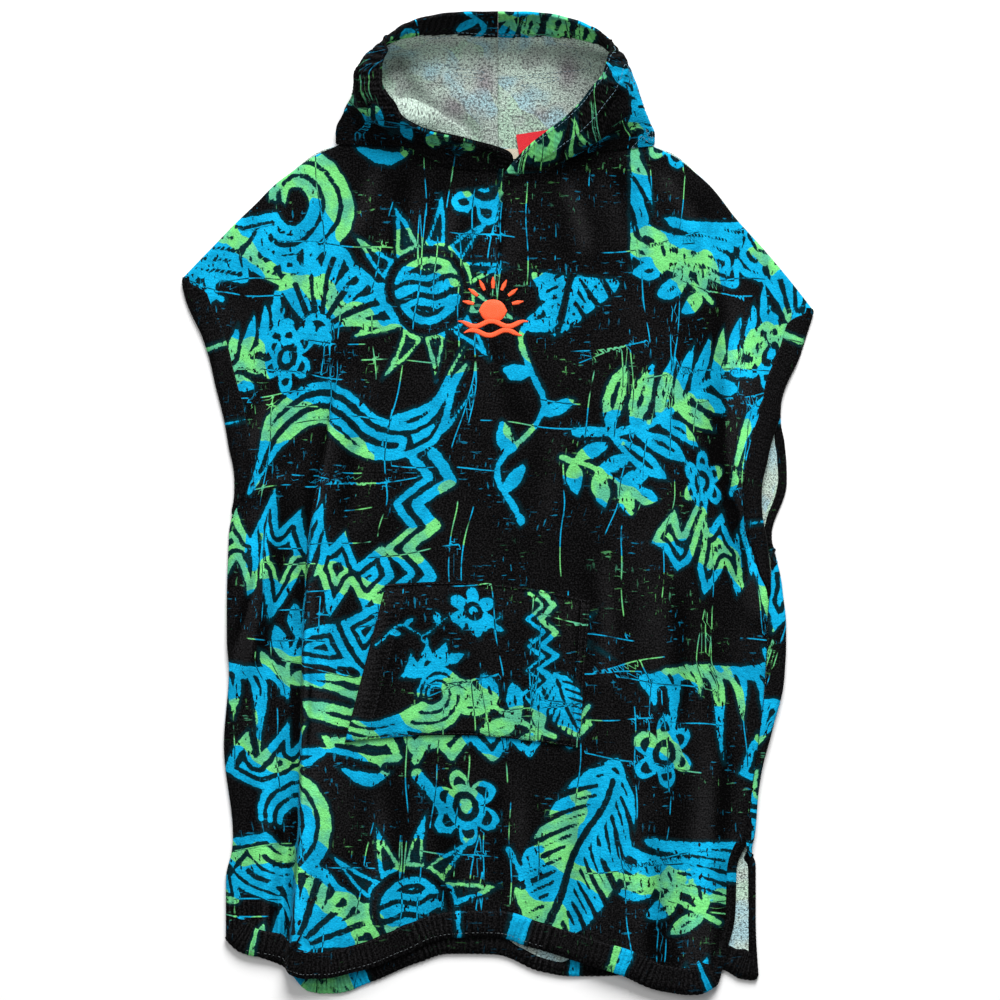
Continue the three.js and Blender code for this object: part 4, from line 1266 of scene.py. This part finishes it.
def make_hood(name, table, mirrored):
    s = blended_stations([(0.012, 4), (0.04, 4), (0.18, 20), (0.96, 78), (0.985, 3), (1.0, 6)])
    rows = blended_stations([(0.006, 3), (0.016, 3), (0.985, 126), (1.0, 3)])
    middle = hood_middle(table, 0.04 if mirrored else -0.04, s, rows)
    from_rim = lengths(middle, 1)
    from_seam = from_rim[:, -1:] - from_rim
    from_band = lengths(middle)
    along_rim = from_band[:, :1]
    strip_width = STRIP - 9 * ease((rows[:, None] - 0.8) / 0.15) + 0 * from_rim
    strip = ease((strip_width - from_rim) / 1.6)
    band = ease((FACING - from_band) / 2)
    facing = np.maximum(ease((STRIP - from_rim) / 2), band)
    wander = np.sin(along_rim / 17 + 1) + 0.5 * np.sin(along_rim / 7.3)
    ribs = 0.34 * np.sin(2 * math.pi * (along_rim + wander + 0.25 * from_rim) / 6.1)
    ribs = ribs * strip * ease(from_rim / 5) * ease((strip_width - from_rim) / 5)
    across = 0.30 * np.sin(2 * math.pi * (from_rim + 1.2 * np.sin(from_rim / 19)) / 6.0)
    across = across * band * ease(from_band / 5)
    soft = 0.9 * np.sin(from_rim / 27 + 1.1 * np.sin(from_band / 31)) * np.sin(from_band / 36 + 0.7)
    soft = soft * ease((s - 0.2) / 0.1) * ease((0.97 - s) / 0.1)
    edge = np.minimum(rounded_edge(from_rim, 2.6), rounded_edge(from_band, 2.6))
    edge = np.minimum(edge, 0.35 + 0.65 * rounded_edge(from_seam, 2.2))
    outer_half = (WALL / 2 + HEM_RISE / 2 * strip + ribs) * edge
    inner_half = (WALL / 2 + HEM_RISE / 2 * facing + across) * edge
    flat = stacked(from_seam, from_band[:, len(s) // 2][:, None] + 0 * from_rim)
    if mirrored:
        flat = flat * np.array([-1, 1]) + np.array([211, 90])
    grids = (middle, outer_half, inner_half, flat, facing, soft, ribs, across, from_rim, from_band, strip_width)
    if mirrored:
        grids = [grid[:, ::-1] for grid in grids]
    middle, outer_half, inner_half, flat, facing, soft, ribs, across, from_rim, from_band, strip_width = grids
    x, y = middle[..., 0], middle[..., 1]
    normals = grid_normals(middle)
    folded = hood_crease_height(x, y) * ease((-normals[..., 2] - 0.2) / 0.3)
    # Painted light and shade on the inside: a dark line along the band's seam, the fold and its valley, lighter
    # towards the band and darker towards the neck, and the band's ribs.
    seam_shade = -0.5 * ease((2.5 - np.abs(from_band - FACING)) / 2)
    inner_shading = hood_flap_shade(x, y) + 0.5 * np.clip((y - 412) / 30, -1, 1) + across / 0.45 + seam_shade
    # Painted light and shade on the outside: the strip's ribs, and a dark line at the strip's edge.
    outer_shading = ribs / 0.4 - 0.8 * hill(from_rim - strip_width, 2.2) * (strip_width > 17)
    patches = [np.hypot(x - px, 1.5 * (y - py)) - reach for px, py, reach in HOOD_PATCHES]
    wobble = 3.5 * np.sin(x / 3.1 + y / 6.3) + 2.0 * np.sin(x / 7.7 - y / 4.9)
    black_side = np.where(mirrored, -60, np.min(patches, axis=0) + wobble)
    stain = sum(hill(x - px, wide) * hill(y - py, tall) for px, py, wide, tall in HOOD_STAINS)
    fields = {
        "relief_shading": (np.clip(inner_shading, -1, 1), np.clip(outer_shading, -1, 1)),
        "bare": (np.clip(9 - from_rim, -60, CLEAR), np.clip(black_side, -60, CLEAR)),
        "brushed": (0 * from_rim, 0.8 * ease((strip_width - from_rim) / 3)),
        "quiet": (ease((12 - from_rim) / 3), 0.5 * ease((black_side + 3) / 3)),
        "stain": (np.clip(stain, 0, 1), 0 * from_rim),
    }
    middle = middle + normals * (soft - folded)[..., None]
    outer = middle + normals * outer_half[..., None]
    inner = middle - normals * inner_half[..., None]
    outer[..., 2] = np.maximum(0.1, outer[..., 2])
    inner[..., 2] = np.maximum(INNER_LOW, inner[..., 2])
    # The turned band and strip, and the sides of the bowl, have the print on the inside too.
    face = (facing[:-1, :-1] > 0.5) | (np.abs(middle[:-1, :-1, 0]) > 146)
    piece = wall_object(name, inner, outer, flat, [terry, velour], (np.where(face, 1, 0), 1, 1), fields=fields)
    return piece, Surface(outer, flat), Surface(inner, flat, flip=True)


# Pocket

def make_pocket():
    (ax, ay), (bx, by), (cx, cy), (dx, dy) = POCKET_CORNERS
    u, v = np.meshgrid(even_stations(220, 112), even_stations(155, 78))
    bow = np.sin(math.pi * u) * mix(POCKET_BOW[0], POCKET_BOW[1], v)
    x = mix(mix(ax, bx, u), mix(dx, cx, u), v)
    y = mix(mix(ay, by, u), mix(dy, cy, u), v) + bow
    plan = stacked(x, y, 0 * x)
    to_left, to_top = lengths(plan, 1), lengths(plan)
    to_right, to_low = to_left[:, -1:] - to_left, to_top[-1:] - to_top
    sewn = np.minimum(np.minimum(to_right, to_low), to_top)
    puff = 1.6 * ease(to_left / 30) * ease(sewn / 26) * (1 + 0.5 * np.sin(x / 37 + 1) * np.sin(y / 29))
    gape = 3.4 * hill(to_left, 16) * ease(to_top / 26) * ease(to_low / 26)
    hem = 0.9 * ease((24 - to_left) / 2)
    ribs = 0.16 * np.sin(2 * math.pi * (to_top + np.sin(to_top / 13)) / 5.6)
    ribs = ribs * ease((23 - to_left) / 3) * ease(to_left / 3)
    seams = ((to_right, 3.0), (to_right, 9.5), (to_low, 3.0), (to_top, 3.0))
    groove = sum(0.8 * hill(distance - at, 1.5) for distance, at in seams)
    under = front_height(x, y) + POCKET_GAP * 0.4 + gape
    rounding = 0.25 + 0.75 * rounded_edge(np.minimum(sewn, to_left), 2.6)
    upper = stacked(x, y, under + (WALL + 0.4 + puff + hem + ribs - groove) * rounding)
    lower = stacked(x, y, under)
    flat = stacked(x + 151, y + 333)
    # Painted light and shade: the ribs, darker stitch grooves, and crests lighter than their surroundings.
    relief_shading = np.clip(ribs / 0.3 - groove / 0.8 + relief_of(upper, np.array([0, 0, 1.0]), 8, 1.2), -1, 1)
    fields = {"relief_shading": (relief_shading, 0 * relief_shading)}
    piece = wall_object(
        "pocket_cloth", upper, lower, flat, [velour, terry], coarse=3, fields=fields, motifs=POCKET_MOTIFS
    )
    return piece, Surface(upper, flat, flip=True)


# Stitches and embroidery

def stitch_object(name, lines, material, radius, length=3.3, gap=1.2):
    """Raised threads along lines, each line being its points and the directions away from the cloth."""
    verts, quads = [], []
    sides = 6
    turn = np.arange(sides) / sides * 2 * math.pi
    size = radius * np.array([0.3, 1, 1, 0.3])
    lift = radius * np.array([-0.6, 0.35, 0.35, -0.6])
    for points, normals in lines:
        distance = lengths(points)
        for k in range(int(distance[-1] / (length + gap))):
            t = k * (length + gap) + length * np.array([0, 0.22, 0.78, 1])
            p, n = (np.stack([np.interp(t, distance, field[:, axis]) for axis in range(3)], axis=1)
                    for field in (points, normals))
            n = unit(n)
            side = np.cross(unit(p[-1] - p[0]), n)
            first = len(verts) * 4 * sides
            ring = (p + n * lift[:, None])[:, None] + size[:, None, None] * (
                np.cos(turn)[None, :, None] * side[:, None] + np.sin(turn)[None, :, None] * n[:, None]
            )
            verts.append(ring.reshape(-1, 3))
            i, j = np.meshgrid(np.arange(3), np.arange(sides), indexing="ij")
            a, b = first + i * sides + j, first + i * sides + (j + 1) % sides
            quads.append(stacked(a, a + sides, b + sides, b).reshape(-1, 4))
            for end, flip in ((0, False), (3, True)):
                for low, high in ((0, 5), (1, 4)):
                    cap = first + end * sides + np.array([[low, low + 1, high - 1, high]])
                    quads.append(cap[:, ::-1] if flip else cap)
    return new_object(name, np.concatenate(verts), np.concatenate(quads), [material])


def edge_line(surface, edge, span, inward, lift=0.0, count=220):
    """A line on a surface at a fixed distance from one of its edges."""
    points, normals, _ = surface.at_inset(edge, np.linspace(*span, count), inward)
    return points + normals * lift, normals


def front_point(x, y, lift):
    """Points at a height over the front."""
    step = 0.5
    slope_x = (front_height(x + step, y) - front_height(x - step, y)) / (2 * step)
    slope_y = (front_height(x, y + step) - front_height(x, y - step)) / (2 * step)
    n = unit(stacked(-slope_x, -slope_y, np.ones_like(x)))
    return stacked(x, y, front_height(x, y)) + n * lift[..., None]


BADGE_X, BADGE_Y = -5.0, 197.0
SATIN_LIFT = 1.3


def satin(points, widths):
    """A raised band of embroidery over the front: its rows of vertices across the band."""
    points = np.array(points, float)
    keys = np.linspace(0, 1, len(points))
    t = np.linspace(0, 1, max(24, 6 * len(points)))
    x, y = curve_through(keys, points)(t).T
    half = np.interp(t, np.linspace(0, 1, len(widths)), widths) / 2
    dx, dy = np.gradient(x), np.gradient(y)
    aside = half / np.hypot(dx, dy)
    offset = np.linspace(-1, 1, 9)
    across_x = x[:, None] - (dy * aside)[:, None] * offset
    across_y = y[:, None] + (dx * aside)[:, None] * offset
    height = SATIN_LIFT * np.sqrt(np.clip(1 - offset**4, 0, 1))[None, :] - 0.25
    return front_point(BADGE_X + across_x, BADGE_Y + across_y, height + 0 * across_x)


def make_badge():
    """A rising sun over two waves, in plain satin stitch."""
    bands = [satin([(-14, -4), (14, -4)], [1, 13, 19, 22, 23.4, 24, 23.4, 22, 19, 13, 1])]
    for angle in np.radians(range(12, 169, 26)):
        ray = [(reach * math.cos(angle), -1 + reach * math.sin(angle)) for reach in (19.5, 31)]
        bands.append(satin(ray, [3.2, 4.6, 1.2]))
    for low, reach in ((-17, 35), (-26, 29)):
        wave = [(x, low + 2.6 * math.sin(x / 5.3 + low)) for x in np.linspace(-reach, reach, 21)]
        bands.append(satin(wave, [1.0] + [5.2] * 6 + [1.0]))
    firsts = np.cumsum([0] + [band.shape[0] * band.shape[1] for band in bands])
    verts = np.concatenate([band.reshape(-1, 3) for band in bands])
    quads = np.concatenate([grid_quads(*band.shape[:2], first) for band, first in zip(bands, firsts)])
    return new_object("badge", verts, quads, [badge_thread])


# Making

def armhole_hem_depth(share):
    """The armhole's hem narrows towards the underarm, where it turns under."""
    return 22 - 13 * ease((share - 0.72) / 0.28)


def back_hem_depth(share):
    """The lower hem of the back is turned up less to the right of the middle, where its inside shows."""
    return 26 - 14 * ease((share - 0.50) / 0.06) * ease((0.70 - share) / 0.06)


def side_span(surface, high, low=None, column=-1):
    """The shares of a panel's rows between two heights, or down to its hem."""
    return surface.row_at(high, column), 0.998 if low is None else surface.row_at(low, column)


front_cloth, front_surface = make_front()
back_cloth, back_surface = make_back()
hood_left, left_outer, left_inner = make_hood("hood_left_cloth", HOOD_LEFT, False)
hood_right, right_outer, right_inner = make_hood("hood_right_cloth", HOOD_RIGHT, True)
pocket_cloth, pocket_surface = make_pocket()

front_hems = [
    make_hem("front_hem", front_surface, "hem", (0.0, 1.0), HEM_DEPTH,
             [(0.052, 0.064, 1), (0.482, 0.493, -1), (0.575, 0.612, -1), (0.775, 0.79, 1), (0.79, 0.81, -1),
              (0.97, 0.985, -1)], rib=0.85),
    make_hem("front_armhole_left", front_surface, "left",
             side_span(front_surface, 226, -10, 0), armhole_hem_depth,
             [(0.30, 0.32, 1), (0.62, 0.63, -1)], rib=0.25),
    make_hem("front_armhole_right", front_surface, "right",
             side_span(front_surface, 194, -92), armhole_hem_depth,
             [(0.10, 0.125, 1), (0.74, 0.75, -1)], rib=0.3),
    make_hem("front_slit_right", front_surface, "right",
             side_span(front_surface, -322), 10, [(0.30, 0.36, -1)], rib=0.3),
]
back_hems = [
    make_hem("back_hem", back_surface, "hem", (0.0, 1.0), back_hem_depth,
             [(0.128, 0.162, -1), (0.162, 0.262, 1), (0.262, 0.29, -1), (0.66, 0.68, -1)]),
    make_hem("back_armhole_right", back_surface, "right",
             side_span(back_surface, 192, -66), 7, [(0.42, 0.44, -1)], rib=0.3),
    make_hem("back_slit_right", back_surface, "right",
             side_span(back_surface, -312), 6, [(0.16, 0.18, -1)], rib=0.3),
]

front_lines = [
    edge_line(front_surface, "hem", (0.01, 0.99), 23.5, 1.3, 500),
    edge_line(front_surface, "left", side_span(front_surface, 222, 8, 0), 20.5, 1.2),
    edge_line(front_surface, "right", side_span(front_surface, 190, -42), 20.5, 1.2),
    *(edge_line(pocket_surface, edge, (0.01, 0.99), inward)
      for edge, inward in (("right", 3.0), ("right", 9.5), ("hem", 3.0), ("top", 3.0))),
    edge_line(pocket_surface, "left", (0.03, 0.97), 23.0),
]
front_stitches = stitch_object("front_stitches", front_lines, black_thread, radius=0.3)
hem_line = [edge_line(front_surface, "hem", (0.06, 0.62), 2.6, 1.35, 500)]
hem_stitches = stitch_object("hem_stitches", hem_line, white_thread, gap=0.3, radius=0.24)
hood_lines = [
    edge_line(right_outer, "right", (0.03, 0.95), 3.4, 0.1),
    edge_line(right_outer, "right", (0.03, 0.82), STRIP - 3.0, 0.1),
    edge_line(left_inner, "top", (0.10, 0.99), FACING - 3.0, 0.1),
    edge_line(right_inner, "top", (0.01, 0.90), FACING - 3.0, 0.1),
]
hood_stitches = stitch_object("hood_stitches", hood_lines, pale_thread, radius=0.24)
dark_lines = [
    edge_line(left_outer, "left", (0.03, 0.90), 3.4, 0.1),
    edge_line(left_outer, "left", (0.03, 0.82), STRIP - 3.0, 0.1),
]
dark_stitches = stitch_object("dark_stitches", dark_lines, black_thread, radius=0.24)
badge = make_badge()

stitches = (front_stitches, hem_stitches, hood_stitches, dark_stitches)
for piece in (front_cloth, back_cloth, hood_left, hood_right, pocket_cloth, badge, *stitches):
    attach(piece, "root")
for piece in front_hems + back_hems:
    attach(piece, "root")

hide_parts("front_panel")
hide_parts("back_panel")
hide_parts("hood_left")
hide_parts("hood_right")
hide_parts("kangaroo_pocket")
for piece in [front_cloth, front_stitches, hem_stitches, badge] + front_hems:
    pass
for piece in [back_cloth] + back_hems:
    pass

for node, material in (("neck_tape", tape_cotton), ("neck_label", label_red)):
    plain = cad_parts[node]
    plain.data.materials.clear()
    plain.data.materials.append(material)


# Floor, light and camera

def placed(name, data, place=(0, 0, 0)):
    made = bpy.data.objects.new(name, data)
    made.location = place
    bpy.context.collection.objects.link(made)
    return made


floor_mesh = bpy.data.meshes.new("floor")
reach = 6.0
floor_corners = [(-reach, -reach, 0), (reach, -reach, 0), (reach, reach, 0), (-reach, reach, 0)]
floor_mesh.from_pydata(floor_corners, [], [(0, 1, 2, 3)])
floor_mesh.materials.append(plain_material("floor_white", (0.70, 0.70, 0.70), 1.0))
floor = placed("floor", floor_mesh)


def area_light(name, place, size, power):
    """A round lamp that points at the middle of the frame."""
    lamp = bpy.data.lights.new(name, "AREA")
    lamp.shape = "DISK"
    lamp.size = size
    lamp.energy = power
    placed(name, lamp, place).rotation_euler = (-Vector(place)).to_track_quat("-Z", "Y").to_euler()


area_light("key", (0.7, 4.1, 3.0), 3.2, 560)
area_light("fill", (-1.6, 1.2, 4.6), 2.6, 60)

world = bpy.data.worlds.new("room")
bpy.context.scene.world = world
world.use_nodes = True
background = world.node_tree.nodes["Background"]
background.inputs[0].default_value = (1, 1, 1, 1)
background.inputs[1].default_value = 0.34

CAMERA_HEIGHT = 8.0
FIELD_WIDTH = 1.0
camera_data = bpy.data.cameras.new("camera")
camera = placed("camera", camera_data, (0.002, 0.004 + MIDDLE_Y * MM, CAMERA_HEIGHT))
camera_data.sensor_width = 36.0
camera_data.lens = 36.0 * CAMERA_HEIGHT / FIELD_WIDTH
camera_data.clip_end = 50.0
bpy.context.scene.camera = camera
bpy.context.scene.view_settings.view_transform = "Standard"
